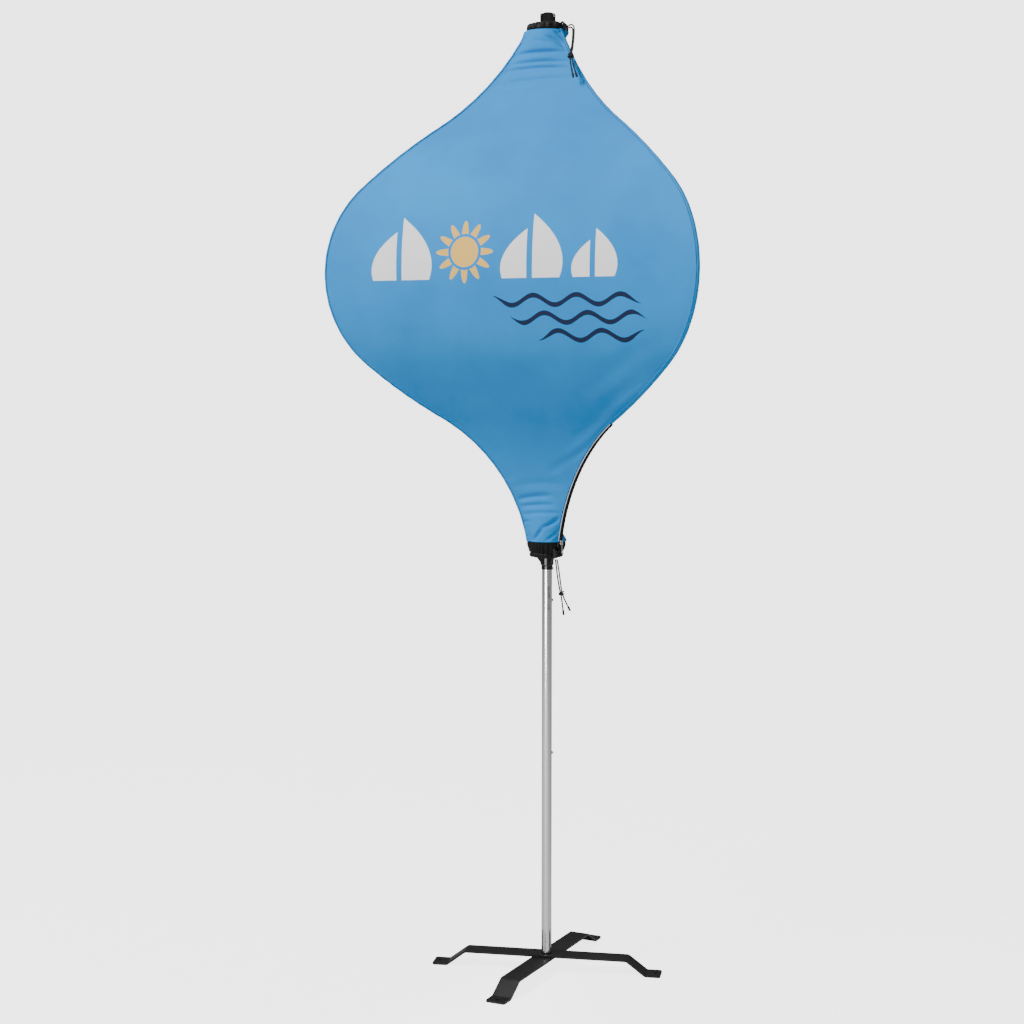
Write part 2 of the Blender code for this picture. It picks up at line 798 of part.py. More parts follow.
def panel_row(first, second, station, limits):
    """Points across a panel, from beside one rib's sleeve to beside the next's."""
    start = rib_point(first, station, RIB_INSET)
    end = rib_point(second, station, RIB_INSET)
    height = start.z
    reach = math.hypot(start.x, start.y)
    chord = (end - start).length
    low_share = (RIB_INSET + 0.0004) / chord
    from_angle = math.radians(RIB_DEG[first])
    mid_angle = from_angle + math.radians(60.0)
    flat_out = Vector((math.cos(mid_angle), math.sin(mid_angle), 0.0))
    mix = roundness(station[1], limits)
    row = []
    for column in range(PANEL_COLUMNS + 1):
        share = low_share + (1 - 2 * low_share) * column / PANEL_COLUMNS
        angle = from_angle + math.radians(120.0) * share
        out = Vector((math.cos(angle), math.sin(angle), 0.0))
        flat = start.lerp(end, share) + flat_out * RIB_INSET
        bowed = out * (reach + RIB_INSET)
        bowed.z = height
        row.append(flat.lerp(bowed, mix))
    return row


def panel(name, first, second, limits):
    bm = bmesh.new()
    rows = []
    for station in stations(PANEL_LOW, PANEL_HIGH):
        rows.append([bm.verts.new(point) for point in panel_row(first, second, station, limits)])
    for low, high in zip(rows, rows[1:]):
        for index in range(PANEL_COLUMNS):
            bm.faces.new((low[index], low[index + 1], high[index + 1], high[index]))
    obj = from_bmesh(bm, name)
    cloth = obj.modifiers.new("cloth", "SOLIDIFY")
    cloth.thickness = FABRIC
    cloth.offset = -1.0
    cloth.use_even_offset = True
    return finish(obj, name, BLUE_CLOTH)


def collars():
    hem_top = COLLAR_LOW + HEM_HEIGHT
    top = PANEL_LOW - GAP
    outer = [
        (outline_radius(top), top),
        (outline_radius((top + hem_top) / 2), (top + hem_top) / 2),
        (outline_radius(hem_top), hem_top),
        (outline_radius(hem_top) + 0.0010, hem_top - 0.004),
        (outline_radius(hem_top) - 0.0020, COLLAR_LOW + 0.003),
        (outline_radius(hem_top) - 0.0090, COLLAR_LOW),
    ]
    shell("collar_bottom", outer, FABRIC)
    rim = outline_radius(PANEL_HIGH + GAP)
    low = PANEL_HIGH + GAP
    outer = [
        (HUB_TOP_BOSS[0] + 0.0010, COLLAR_HIGH),
        (rim - 0.0100, COLLAR_HIGH - 0.003),
        (rim - 0.0010, COLLAR_HIGH - 0.009),
        (rim, low),
    ]
    shell("collar_top", outer, 0.0020)


def shell(name, outer, thickness):
    """A turned skin: the outer profile runs down, and Solidify thickens it inward."""
    bm = bmesh.new()
    points = [bm.verts.new((radius, 0.0, height)) for radius, height in outer]
    for first, second in zip(points, points[1:]):
        bm.edges.new((first, second))
    obj = from_bmesh(bm, name)
    screw = obj.modifiers.new("turn", "SCREW")
    screw.steps = 24
    screw.render_steps = 24
    screw.use_merge_vertices = True
    screw.merge_threshold = 0.00001
    wall = obj.modifiers.new("cloth", "SOLIDIFY")
    wall.thickness = thickness
    wall.offset = -1.0
    return finish(obj, name, BLACK_CLOTH)


def cover():
    sleeves()
    panel("panel_front", "a", "b", FRONT_ROUND)
    panel("panel_right", "b", "c", SIDE_ROUND)
    panel("panel_left", "c", "a", SIDE_ROUND)
    collars()


# ---------------------------------------------------------------- zip
ZIP_OUT = rib_direction(ZIP_RIB)
ZIP_ASIDE = Vector((0.0, 0.0, 1.0)).cross(ZIP_OUT)
ZIP_ARC = OUTLINE_ARCS[0][0]
ZIP_START_LEAN = math.radians(OUTLINE_START[2])
ZIP_CENTRE_OUT = OUTLINE_START[0] + ZIP_ARC * math.cos(ZIP_START_LEAN)
ZIP_CENTRE_Z = OUTLINE_START[1] - ZIP_ARC * math.sin(ZIP_START_LEAN)
TAPE_OFF = 0.0004
CHAIN_OFF = TAPE_OFF + TAPE_THICKNESS + GAP
SLIDER_OFF = CHAIN_OFF + CHAIN_THICKNESS + 2 * GAP
PULL_OFF = SLIDER_OFF + SLIDER_HEIGHT + PULL_LIFT


def zip_point(lean, off, aside=0.0):
    """A point this far off the cover along the zip, where the rib leans this much."""
    reach = ZIP_ARC - off
    out = ZIP_CENTRE_OUT - reach * math.cos(lean)
    up = ZIP_CENTRE_Z + reach * math.sin(lean)
    return ZIP_OUT * out + ZIP_ASIDE * aside + Vector((0.0, 0.0, up))


def zip_strip(name, half, off, thickness, from_deg, to_deg, look):
    bm = bmesh.new()
    rows = []
    count = 12
    for index in range(count + 1):
        lean = math.radians(from_deg + (to_deg - from_deg) * index / count)
        rows.append([bm.verts.new(zip_point(lean, off, side * half)) for side in (-1, 1)])
    for low, high in zip(rows, rows[1:]):
        bm.faces.new((low[0], low[1], high[1], high[0]))
    obj = from_bmesh(bm, name)
    wall = obj.modifiers.new("thickness", "SOLIDIFY")
    wall.thickness = thickness
    wall.offset = 1.0
    wall.use_even_offset = True
    return finish(obj, name, look)


def slider_frame(lean, off):
    """Across, along the chain and away from the cover, at a point on the zip."""
    along = ZIP_OUT * math.sin(lean) + Vector((0.0, 0.0, math.cos(lean)))
    away = ZIP_OUT * math.cos(lean) - Vector((0.0, 0.0, math.sin(lean)))
    place = Matrix((ZIP_ASIDE, along, away)).transposed().to_4x4()
    place.translation = zip_point(lean, off)
    return place


def zip_slider():
    lean = math.radians(SLIDER_AT_DEG)
    low = CHAIN_OFF + GAP
    high = SLIDER_OFF + SLIDER_HEIGHT
    place = slider_frame(lean, (low + high) / 2)
    slider = box("zip_slider", (2 * SLIDER_HALF, SLIDER_LENGTH, high - low), place)
    channel = slider_frame(lean, SLIDER_OFF - 0.005)
    size = (2 * (CHAIN_HALF + CHANNEL_SLACK), 0.03, 0.010)
    cut(slider, box("slider_channel_cut", size, channel))
    face = slider_frame(lean, high)
    bridge_path = []
    for index in range(9):
        angle = math.pi * index / 8
        rise = BRIDGE_HEIGHT * math.sin(angle) - BRIDGE_SINK
        bridge_path.append(face @ Vector((0.0, BRIDGE_HALF * math.cos(angle), rise)))
    bridge = curve_to_mesh(tube_along("slider_bridge", bridge_path, BRIDGE_RADIUS, 1), Matrix())
    join(slider, bridge)
    finish(slider, "zip_slider", STEEL)
    axle = slider_frame(lean, PULL_OFF)
    hinge = axle.translation
    down = Matrix((ZIP_ASIDE, Vector((0.0, 0.0, 1.0)), ZIP_OUT)).transposed().to_4x4()
    down.translation = hinge + Vector((0.0, 0.0, PULL_TOP - PULL_LENGTH / 2))
    pull = box("zip_pull", (2 * PULL_HALF, PULL_LENGTH, PULL_THICKNESS), down)
    width, length, drop = PULL_WINDOW
    window = down.copy()
    window.translation = hinge + Vector((0.0, 0.0, drop))
    cut(pull, box("pull_window_cut", (width, length, 0.01), window))
    eye = hinge + Vector((0.0, 0.0, PULL_EYE_UP - PULL_LENGTH))
    cut(pull, cylinder("pull_eye_cut", PULL_EYE_RADIUS, eye - ZIP_OUT * 0.01, eye + ZIP_OUT * 0.01, 12))
    finish(pull, "zip_pull", STEEL)
    origin_to(pull, hinge)


def origin_to(obj, point):
    """Moves the object's origin, and leaves its mesh where it is."""
    obj.data.transform(Matrix.Translation(-point))
    obj.matrix_world = Matrix.Translation(point)


def zipper():
    zip_strip("zip_tape", TAPE_HALF, TAPE_OFF, TAPE_THICKNESS, ZIP_FROM_DEG, ZIP_TO_DEG, BLACK_CLOTH)
    chain_from = ZIP_FROM_DEG + 0.2
    chain_to = ZIP_TO_DEG - 0.2
    zip_strip("zip_chain", CHAIN_HALF, CHAIN_OFF, CHAIN_THICKNESS, chain_from, chain_to, BLACK_PLASTIC)
    line = []
    for index in range(13):
        lean = math.radians(ZIP_FROM_DEG + 2.6 + (ZIP_TO_DEG - ZIP_FROM_DEG - 2.6) * index / 12)
        line.append(zip_point(lean, PIPING_RADIUS + TAPE_OFF, -TAPE_HALF - PIPING_RADIUS - GAP))
    finish(tube_along("zip_piping", line, PIPING_RADIUS, 1), "zip_piping", WHITE_CORD)
    zip_slider()


# ---------------------------------------------------------------- cord locks and drawcords
CORD_ACROSS = Vector((BUTTON_OUT.x, BUTTON_OUT.y, 0.0))
CORD_TOWARD = Vector((BUTTON_OUT.y, -BUTTON_OUT.x, 0.0))


def cord_place(across, toward, up):
    return CORD_ACROSS * across + CORD_TOWARD * toward + Vector((0.0, 0.0, up))


def cord_lock(name, low, high):
    """A barrel, open at its top, with a hollow plunger on a coil spring."""
    low = cord_place(*low)
    axis = (cord_place(*high) - low).normalized()
    aim = Matrix.Translation(low) @ axis.to_track_quat("Z", "Y").to_matrix().to_4x4()
    body = turned(
        f"{name}_lock_body",
        [
            (0.0, LOCK_FLOOR),
            (LOCK_BORE, LOCK_FLOOR),
            (LOCK_BORE, LOCK_LENGTH),
            (LOCK_RADIUS, LOCK_LENGTH),
            (LOCK_RADIUS, LOCK_CHAMFER),
            (LOCK_RADIUS - LOCK_CHAMFER, 0.0),
            (0.0, 0.0),
        ],
        BLACK_PLASTIC,
        steps=20,
    )
    body.matrix_world = aim
    top = LOCK_LENGTH + PLUNGER_PROUD
    skirt = LOCK_LENGTH - PLUNGER_SKIRT
    cup = PLUNGER_RADIUS - PLUNGER_WALL
    plunger = turned(
        f"{name}_lock_plunger",
        [
            (0.0, top),
            (cup, top),
            (PLUNGER_RADIUS, top - PLUNGER_WALL),
            (PLUNGER_RADIUS, skirt),
            (cup, skirt),
            (cup, top - PLUNGER_END),
            (0.0, top - PLUNGER_END),
        ],
        BLACK_PLASTIC,
        steps=16,
    )
    plunger.matrix_world = aim
    coil = []
    coil_low = LOCK_FLOOR + 2 * COIL_WIRE
    coil_top = top - PLUNGER_END - LOCK_TRAVEL_ROOM
    for index in range(COIL_TURNS * 8 + 1):
        angle = 2 * math.pi * index / 8
        height = coil_low + (coil_top - coil_low) * index / (COIL_TURNS * 8)
        coil.append((COIL_RADIUS * math.cos(angle), COIL_RADIUS * math.sin(angle), height))
    spring = tube_along(f"{name}_lock_spring", coil, COIL_WIRE, 0)
    finish(spring, f"{name}_lock_spring", STEEL)
    spring.matrix_world = aim


def drawcord(name, route, count):
    points = smooth_route([cord_place(*point) for point in route], count)
    finish(tube_along(name, points, CORD_RADIUS, 2), name, CORD_BLACK)
    end = points[-1]
    along = (points[-1] - points[-2]).normalized()
    tip = cylinder(
        f"{name}_tip", TIP_RADIUS, end + along * GAP, end + along * (GAP + TIP_LENGTH), 12, TIP_RADIUS * 0.8
    )
    finish(tip, f"{name}_tip", CORD_BLACK)


def knot(name, place, lean):
    """A ring of cord round both strands, leaning with them."""
    bm = bmesh.new()
    profile_turns = 12
    rows = []
    for index in range(profile_turns):
        angle = 2 * math.pi * index / profile_turns
        row = []
        for step in range(6):
            around = 2 * math.pi * step / 6
            reach = KNOT_RADIUS + 0.0019 * math.cos(around)
            point = (reach * math.cos(angle), reach * math.sin(angle), 0.0030 * math.sin(around))
            row.append(bm.verts.new(point))
        rows.append(row)
    for index in range(profile_turns):
        here = rows[index]
        ahead = rows[(index + 1) % profile_turns]
        for step in range(6):
            after = (step + 1) % 6
            bm.faces.new((here[step], ahead[step], ahead[after], here[after]))
    obj = from_bmesh(bm, name)
    axis = (cord_place(*lean) - cord_place(0.0, 0.0, 0.0)).normalized()
    turn = axis.to_track_quat("Z", "Y").to_matrix().to_4x4()
    obj.matrix_world = Matrix.Translation(cord_place(*place)) @ turn
    finish(obj, name, CORD_BLACK)


# Each route runs from the lock, through the knot, to the cord's free end: across, toward, up.
TOP_CORD_1 = [
    (0.0474, 0.0455, 2.2904),
    (0.0506, 0.0479, 2.2932),
    (0.0545, 0.0508, 2.2936),
    (0.0586, 0.0539, 2.2910),
    (0.0608, 0.0560, 2.2843),
    (0.0606, 0.0630, 2.2680),
    (0.0590, 0.0730, 2.2500),
    (0.0567, 0.0840, 2.2330),
    (0.0542, 0.0970, 2.2140),
    (0.0570, 0.1110, 2.1920),
    (0.0625, 0.1255, 2.1700),
]
TOP_CORD_2 = [
    (0.0492, 0.0461, 2.2869),
    (0.0519, 0.0481, 2.2877),
    (0.0558, 0.0511, 2.2860),
    (0.0577, 0.0530, 2.2805),
    (0.0572, 0.0610, 2.2660),
    (0.0558, 0.0710, 2.2490),
    (0.0530, 0.0830, 2.2320),
    (0.0501, 0.0965, 2.2130),
    (0.0515, 0.1110, 2.1910),
    (0.0550, 0.1250, 2.1690),
]
BOTTOM_CORD_1 = [
    (0.0190, 0.0535, 1.0262),
    (0.0215, 0.0520, 1.0080),
    (0.0235, 0.0508, 0.9900),
    (0.0265, 0.0498, 0.9700),
    (0.0298, 0.0490, 0.9520),
    (0.0322, 0.0485, 0.9420),
    (0.0350, 0.0480, 0.9250),
    (0.0380, 0.0480, 0.9020),
]
BOTTOM_CORD_2 = [
    (0.0232, 0.0535, 1.0262),
    (0.0262, 0.0520, 1.0080),
    (0.0288, 0.0508, 0.9900),
    (0.0315, 0.0498, 0.9700),
    (0.0340, 0.0490, 0.9520),
    (0.0362, 0.0485, 0.9420),
    (0.0420, 0.0480, 0.9270),
    (0.0500, 0.0480, 0.9110),
]


def drawcords():
    cord_lock("top", (0.0430, 0.0464, 2.2820), (0.0320, 0.0424, 2.3030))
    cord_lock("bottom", (0.0205, 0.0535, 1.0290), (0.0140, 0.0540, 1.0560))
    drawcord("top_cord_1", TOP_CORD_1, 20)
    drawcord("top_cord_2", TOP_CORD_2, 20)
    drawcord("bottom_cord_1", BOTTOM_CORD_1, 16)
    drawcord("bottom_cord_2", BOTTOM_CORD_2, 16)
    knot("top_cord_knot", (0.0522, 0.0968, 2.2135), (-0.05, 0.58, -0.82))
    knot("bottom_cord_knot", (0.0340, 0.0488, 0.9430), (0.20, 0.0, -1.0))


base()
pole()
snap_buttons()
bottom_hub()
top_hub()
ribs()
cover()
zipper()
drawcords()
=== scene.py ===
"""Lantern banner: the looks. Metres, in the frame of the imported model."""

import math

import bmesh
import bpy
import numpy as np
from mathutils import Matrix, Vector, noise


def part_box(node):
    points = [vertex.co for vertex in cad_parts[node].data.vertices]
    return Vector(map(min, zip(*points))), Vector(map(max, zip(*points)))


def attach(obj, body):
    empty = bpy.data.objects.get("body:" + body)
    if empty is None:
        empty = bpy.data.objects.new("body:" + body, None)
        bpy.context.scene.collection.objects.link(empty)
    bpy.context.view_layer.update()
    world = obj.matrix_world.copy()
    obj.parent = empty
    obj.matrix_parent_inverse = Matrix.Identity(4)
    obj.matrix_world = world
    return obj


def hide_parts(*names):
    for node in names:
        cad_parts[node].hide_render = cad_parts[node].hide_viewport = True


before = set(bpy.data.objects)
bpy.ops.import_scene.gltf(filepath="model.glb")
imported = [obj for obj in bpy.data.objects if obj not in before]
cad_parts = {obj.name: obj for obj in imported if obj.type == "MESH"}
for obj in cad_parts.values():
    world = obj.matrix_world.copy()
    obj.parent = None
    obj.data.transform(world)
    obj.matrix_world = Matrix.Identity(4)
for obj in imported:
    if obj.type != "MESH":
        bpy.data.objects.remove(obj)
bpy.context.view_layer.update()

# ---------------------------------------------------------------- camera
VIEW_TURN = math.radians(22.87)
CAMERA_AT = (1.6663, -4.1704, 1.4935)
CAMERA_TILT = math.radians(85.453)
LENS = 65.04

camera_data = bpy.data.cameras.new("camera")
camera_data.lens = LENS
camera_data.sensor_width = 36.0
camera_data.clip_end = 100.0
camera = bpy.data.objects.new("camera", camera_data)
camera.location = CAMERA_AT
camera.rotation_euler = (CAMERA_TILT, 0.0, VIEW_TURN)
bpy.context.scene.collection.objects.link(camera)
bpy.context.scene.camera = camera


# ---------------------------------------------------------------- material helpers
class Nodes:
    """A material's node tree, with short calls for the nodes used here."""

    def __init__(self, name):
        self.material = bpy.data.materials.new(name)
        self.material.use_nodes = True
        self.tree = self.material.node_tree
        self.shader = self.tree.nodes["Principled BSDF"]

    def set(self, **values):
        for key, value in values.items():
            socket = self.shader.inputs[key.replace("_", " ")]
            if isinstance(value, bpy.types.NodeSocket):
                self.tree.links.new(value, socket)
            elif isinstance(value, tuple):
                socket.default_value = (*value, 1.0)
            else:
                socket.default_value = value

    def add(self, kind, inputs=(), output=0, **settings):
        node = self.tree.nodes.new(kind)
        for key, value in settings.items():
            setattr(node, key, value)
        for key, value in dict(inputs).items():
            socket = node.inputs[key]
            if isinstance(value, bpy.types.NodeSocket):
                self.tree.links.new(value, socket)
            else:
                socket.default_value = value
        return node.outputs[output]

    def math(self, operation, first, second=0.0, third=0.0, clamp=False):
        values = {0: first, 1: second, 2: third}
        return self.add("ShaderNodeMath", values, operation=operation, use_clamp=clamp)

    def position(self):
        return self.add("ShaderNodeTexCoord", output=3)

    def noise(self, scale, detail=3.0, stretch=None):
        place = self.position()
        if stretch:
            place = self.add("ShaderNodeMapping", {0: place, 3: stretch})
        return self.add("ShaderNodeTexNoise", {"Vector": place, "Scale": scale, "Detail": detail})

    def ramp(self, factor, *stops):
        node = self.tree.nodes.new("ShaderNodeValToRGB")
        while len(node.color_ramp.elements) < len(stops):
            node.color_ramp.elements.new(0.5)
        for element, (at, grey) in zip(node.color_ramp.elements, stops):
            element.position = at
            element.color = (grey, grey, grey, 1.0)
        self.tree.links.new(factor, node.inputs[0])
        return node.outputs[0]

    def mix(self, factor, first, second):
        node = self.tree.nodes.new("ShaderNodeMix")
        node.data_type = "RGBA"
        for socket, value in ((node.inputs[0], factor), (node.inputs[6], first), (node.inputs[7], second)):
            if isinstance(value, bpy.types.NodeSocket):
                self.tree.links.new(value, socket)
            elif isinstance(value, tuple):
                socket.default_value = (*value, 1.0)
            else:
                socket.default_value = value
        return node.outputs[2]

    def bump(self, height, strength, distance=0.001):
        inputs = {"Height": height, "Strength": strength, "Distance": distance}
        self.set(Normal=self.add("ShaderNodeBump", inputs))


def weave_height(nodes, threads):
    """Crossed fine waves, broken up a little, as a woven cloth's surface."""
    place = nodes.position()
    wave = {"Vector": place, "Scale": threads, "Distortion": 0.4}
    across = nodes.add("ShaderNodeTexWave", wave, output=1, bands_direction="X")
    upward = nodes.add("ShaderNodeTexWave", wave, output=1, bands_direction="Z")
    return nodes.math("ADD", across, upward)


BLUE = (0.016, 0.298, 0.750)
BLUE_DEEP = (0.013, 0.252, 0.665)
PRINT_WHITE = (0.98, 0.98, 0.98)
PRINT_YELLOW = (0.90, 0.56, 0.14)
PRINT_NAVY = (0.012, 0.022, 0.065)


def cloth(name, light, dark, threads=900.0, roughness=0.78, bump=0.12, sheen=0.02):
    nodes = Nodes(name)
    blotch = nodes.noise(5.0, 4.0)
    colour = nodes.mix(nodes.ramp(blotch, (0.35, 0.0), (0.65, 1.0)), dark, light)
    nodes.set(Base_Color=colour, Roughness=roughness, Specular_IOR_Level=0.22)
    nodes.set(Sheen_Weight=sheen, Sheen_Roughness=0.45)
    nodes.bump(weave_height(nodes, threads), bump, 0.0002)
    return nodes


# The print on the front panel: white sails, a yellow sun and navy waves. Each sail is a right triangle
# given by its mast (across), its foot (height), its reach to one side and its height.
SAILS = (
    (-0.258, 1.690, 0.070, 0.145),
    (-0.272, 1.690, -0.060, 0.112),
    (0.070, 1.690, 0.066, 0.145),
    (0.056, 1.690, -0.060, 0.112),
    (0.222, 1.690, 0.046, 0.108),
    (0.209, 1.690, -0.040, 0.082),
)
SUN = (-0.098, 1.752, 0.056)
SUN_RAYS = 12
WAVES = ((0.150, 1.640, 0.180), (0.175, 1.600, 0.165), (0.205, 1.560, 0.130))
SAIL_BELLY = 0.9
SUN_DISC = 0.62  # this and the next three are shares of the sun's radius
SUN_GAP = 0.74
RAY_REACH = 0.98
RAY_SWING = 0.30
WAVE_HEIGHT = 0.011
WAVE_LENGTH = 0.105
WAVE_HALF = 0.0055
WAVE_TAPER = 0.16
PRINT_EDGE = 0.0007


def printed_cloth():
    """The front panel's cloth, with its print mixed in by place."""
    nodes = cloth("front_panel_cloth", BLUE, BLUE_DEEP)
    ground = nodes.shader.inputs["Base Color"].links[0].from_socket
    split = nodes.tree.nodes.new("ShaderNodeSeparateXYZ")
    nodes.tree.links.new(nodes.position(), split.inputs[0])
    across = split.outputs[0]
    height = split.outputs[2]

    def inside(distance):
        """1 where the signed distance is positive, over a soft edge."""
        return nodes.math("MULTIPLY_ADD", distance, 1.0 / PRINT_EDGE, 0.5, clamp=True)

    white = None
    for mast, foot, reach, tall in SAILS:
        rise = nodes.math("SUBTRACT", height, foot)
        aside = nodes.math("MULTIPLY", nodes.math("SUBTRACT", across, mast), math.copysign(1.0, reach))
        share = nodes.math("MULTIPLY_ADD", rise, -1.0 / tall, 1.0)
        belly = nodes.math("MULTIPLY", nodes.math("MULTIPLY", share, rise), SAIL_BELLY)
        leech = nodes.math("ADD", nodes.math("MULTIPLY", share, abs(reach)), belly)
        edges = nodes.math("MINIMUM", aside, rise)
        mask = inside(nodes.math("MINIMUM", nodes.math("SUBTRACT", leech, aside), edges))
        white = mask if white is None else nodes.math("MAXIMUM", white, mask)

    sun_x = nodes.math("SUBTRACT", across, SUN[0])
    sun_z = nodes.math("SUBTRACT", height, SUN[1])
    squares = [nodes.math("POWER", side, 2.0) for side in (sun_x, sun_z)]
    away = nodes.math("SQRT", nodes.math("ADD", *squares))
    turn = nodes.math("ARCTAN2", sun_z, sun_x)
    spoke = nodes.math("COSINE", nodes.math("MULTIPLY", turn, float(SUN_RAYS)))
    disc = nodes.math("SUBTRACT", SUN[2] * SUN_DISC, away)
    ray_reach = nodes.math("MULTIPLY_ADD", spoke, SUN[2] * RAY_SWING, SUN[2] * RAY_REACH)
    ray = nodes.math("SUBTRACT", ray_reach, away)
    ray = nodes.math("MINIMUM", ray, nodes.math("SUBTRACT", away, SUN[2] * SUN_GAP))
    yellow = inside(nodes.math("MAXIMUM", disc, ray))

    navy = None
    for middle, level, half_length in WAVES:
        phase = nodes.math("SUBTRACT", across, middle)
        swing = nodes.math("SINE", nodes.math("MULTIPLY", phase, 2 * math.pi / WAVE_LENGTH))
        line = nodes.math("MULTIPLY_ADD", swing, WAVE_HEIGHT, level)
        off = nodes.math("ABSOLUTE", nodes.math("SUBTRACT", height, line))
        end = nodes.math("ABSOLUTE", phase)
        left = nodes.math("SUBTRACT", half_length, end)
        half = nodes.math("MINIMUM", nodes.math("MULTIPLY", left, WAVE_TAPER), WAVE_HALF)
        mask = inside(nodes.math("SUBTRACT", half, off))
        navy = mask if navy is None else nodes.math("MAXIMUM", navy, mask)

    colour = nodes.mix(white, ground, PRINT_WHITE)
    colour = nodes.mix(yellow, colour, PRINT_YELLOW)
    colour = nodes.mix(navy, colour, PRINT_NAVY)
    nodes.set(Base_Color=colour)
    return nodes.material


def metal(name, light, dark, roughness, streaks=(1.0, 1.0, 0.02), scale=900.0):
    nodes = Nodes(name)
    grain = nodes.noise(scale, 2.0, streaks)
    nodes.set(Base_Color=nodes.mix(grain, dark, light), Metallic=1.0)
    low, high = roughness
    nodes.set(Roughness=nodes.ramp(grain, (0.3, low), (0.7, high)))
    nodes.bump(grain, 0.04, 0.0002)
    return nodes.material


def plastic(name, colour, roughness, coat=0.0):
    nodes = Nodes(name)
    speck = nodes.noise(420.0, 2.0)
    nodes.set(Base_Color=nodes.mix(speck, tuple(0.7 * part for part in colour), colour))
    nodes.set(Roughness=nodes.ramp(speck, (0.3, roughness - 0.05), (0.7, roughness + 0.05)))
    nodes.set(Coat_Weight=coat, Coat_Roughness=0.08)
    nodes.bump(speck, 0.06, 0.0002)
    return nodes.material


def powder_coat(name):
    """Satin black with orange-peel grain, a little duller and greyer where it is worn."""
    nodes = Nodes(name)
    grain = nodes.noise(650.0, 3.0)
    wear = nodes.ramp(nodes.noise(14.0, 5.0), (0.45, 0.0), (0.75, 1.0))
    nodes.set(Base_Color=nodes.mix(wear, (0.006, 0.006, 0.006), (0.013, 0.013, 0.014)))
    nodes.set(Roughness=nodes.ramp(wear, (0.0, 0.38), (1.0, 0.52)))
    nodes.bump(grain, 0.22, 0.0003)
    return nodes.material


def braid(name):
    nodes = Nodes(name)
    wave = {"Vector": nodes.position(), "Scale": 420.0, "Distortion": 1.5}
    strands = nodes.add("ShaderNodeTexWave", wave, output=1, bands_direction="DIAGONAL")
    nodes.set(Base_Color=nodes.mix(strands, (0.002, 0.002, 0.003), (0.012, 0.012, 0.013)))
    nodes.set(Roughness=0.66, Sheen_Weight=0.05, Sheen_Roughness=0.4)
    nodes.bump(strands, 0.6, 0.0004)
    return nodes.material


PANEL_PRINTED = printed_cloth()
PANEL_PLAIN = cloth("panel_cloth", BLUE, BLUE_DEEP).material
SLEEVE_CLOTH = cloth("sleeve_cloth", BLUE, BLUE_DEEP, 700.0).material
# The seam thread is real stitching; its dark, greyish blue is painted shade of the groove beside the pocket.
SEAM_THREAD_AND_SHADE = cloth("seam_thread_and_shade", (0.045, 0.180, 0.360), (0.030, 0.130, 0.280), 500.0).material
HEM_CLOTH = cloth("hem_cloth", (0.010, 0.010, 0.011), (0.004, 0.004, 0.005), 800.0, 0.50, 0.25, 0.02).material
TAPE_CLOTH = cloth("tape_cloth", (0.006, 0.006, 0.008), (0.003, 0.003, 0.004), 1200.0, 0.7, 0.4, 0.0).material
PIPING_CLOTH = cloth("piping_cloth", (0.80, 0.83, 0.86), (0.66, 0.71, 0.76), 900.0).material
POLE_METAL = metal("pole_metal", (0.93, 0.93, 0.94), (0.84, 0.84, 0.85), (0.10, 0.18))
STEEL_METAL = metal("steel_metal", (0.72, 0.72, 0.73), (0.55, 0.55, 0.56), (0.18, 0.32), (1, 1, 1), 300.0)
HUB_PLASTIC = plastic("hub_plastic", (0.004, 0.004, 0.004), 0.20, 0.3)
LOCK_PLASTIC = plastic("lock_plastic", (0.005, 0.005, 0.005), 0.28, 0.3)
BAR_PAINT = powder_coat("bar_paint_coat")
ROD_FIBRE = plastic("rod_fibre", (0.050, 0.050, 0.046), 0.40)
CORD_BRAID = braid("cord_braid")

NODE_LOOKS = {
    BAR_PAINT: ("base_bar_lower", "base_bar_upper"),
    STEEL_METAL: (
        "spindle", "pivot_washer", "pivot_nut", "joint_spring", "stop_spring", "hub_spring",
        "top_lock_spring", "bottom_lock_spring",
    ),
    HUB_PLASTIC: ("pole_foot_bush", "spindle_top_bush", "bottom_hub", "top_hub", "top_cap"),
    LOCK_PLASTIC: ("top_lock_plunger", "bottom_lock_plunger"),
    POLE_METAL: (
        "pole_lower", "pole_middle", "pole_upper", "pole_top",
        "ferrule_lower", "ferrule_middle", "ferrule_upper",
    ),
    ROD_FIBRE: ("rib_a", "rib_b", "rib_c"),
}


def paint(obj, look):
    obj.data.materials.clear()
    obj.data.materials.append(look)


for look, names in NODE_LOOKS.items():
    for node_name in names:
        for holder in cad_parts[node_name].material_slots:
            holder.material = look


# ---------------------------------------------------------------- mesh helpers
def piece(mesh, look, body="mast", smooth_deg=None):
    """A new visible object that rides on a body. Faces that meet at more than smooth_deg keep a hard edge."""
    made = bpy.data.objects.new(mesh.name, mesh)
    bpy.context.scene.collection.objects.link(made)
    paint(made, look)
    mesh.shade_smooth()
    if smooth_deg:
        mesh.set_sharp_from_angle(angle=math.radians(smooth_deg))
    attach(made, body)
    return made


def grid(name, points, look, wrap=False):
    """A sheet of quads through rows of points. wrap closes each row."""
    rows, columns = points.shape[:2]
    number = np.arange(rows * columns).reshape(rows, columns)
    faces = []
    last = columns if wrap else columns - 1
    for row in range(rows - 1):
        for column in range(last):
            after = (column + 1) % columns
            low = number[row]
            high = number[row + 1]
            faces.append((low[column], low[after], high[after], high[column]))
    mesh = bpy.data.meshes.new(name)
    mesh.from_pydata(points.reshape(-1, 3).tolist(), [], [tuple(map(int, face)) for face in faces])
    mesh.update()
    return piece(mesh, look)


def from_bmesh(bm, name, look, body="mast", smooth_deg=None):
    bmesh.ops.recalc_face_normals(bm, faces=bm.faces)
    mesh = bpy.data.meshes.new(name)
    bm.to_mesh(mesh)
    bm.free()
    return piece(mesh, look, body, smooth_deg)


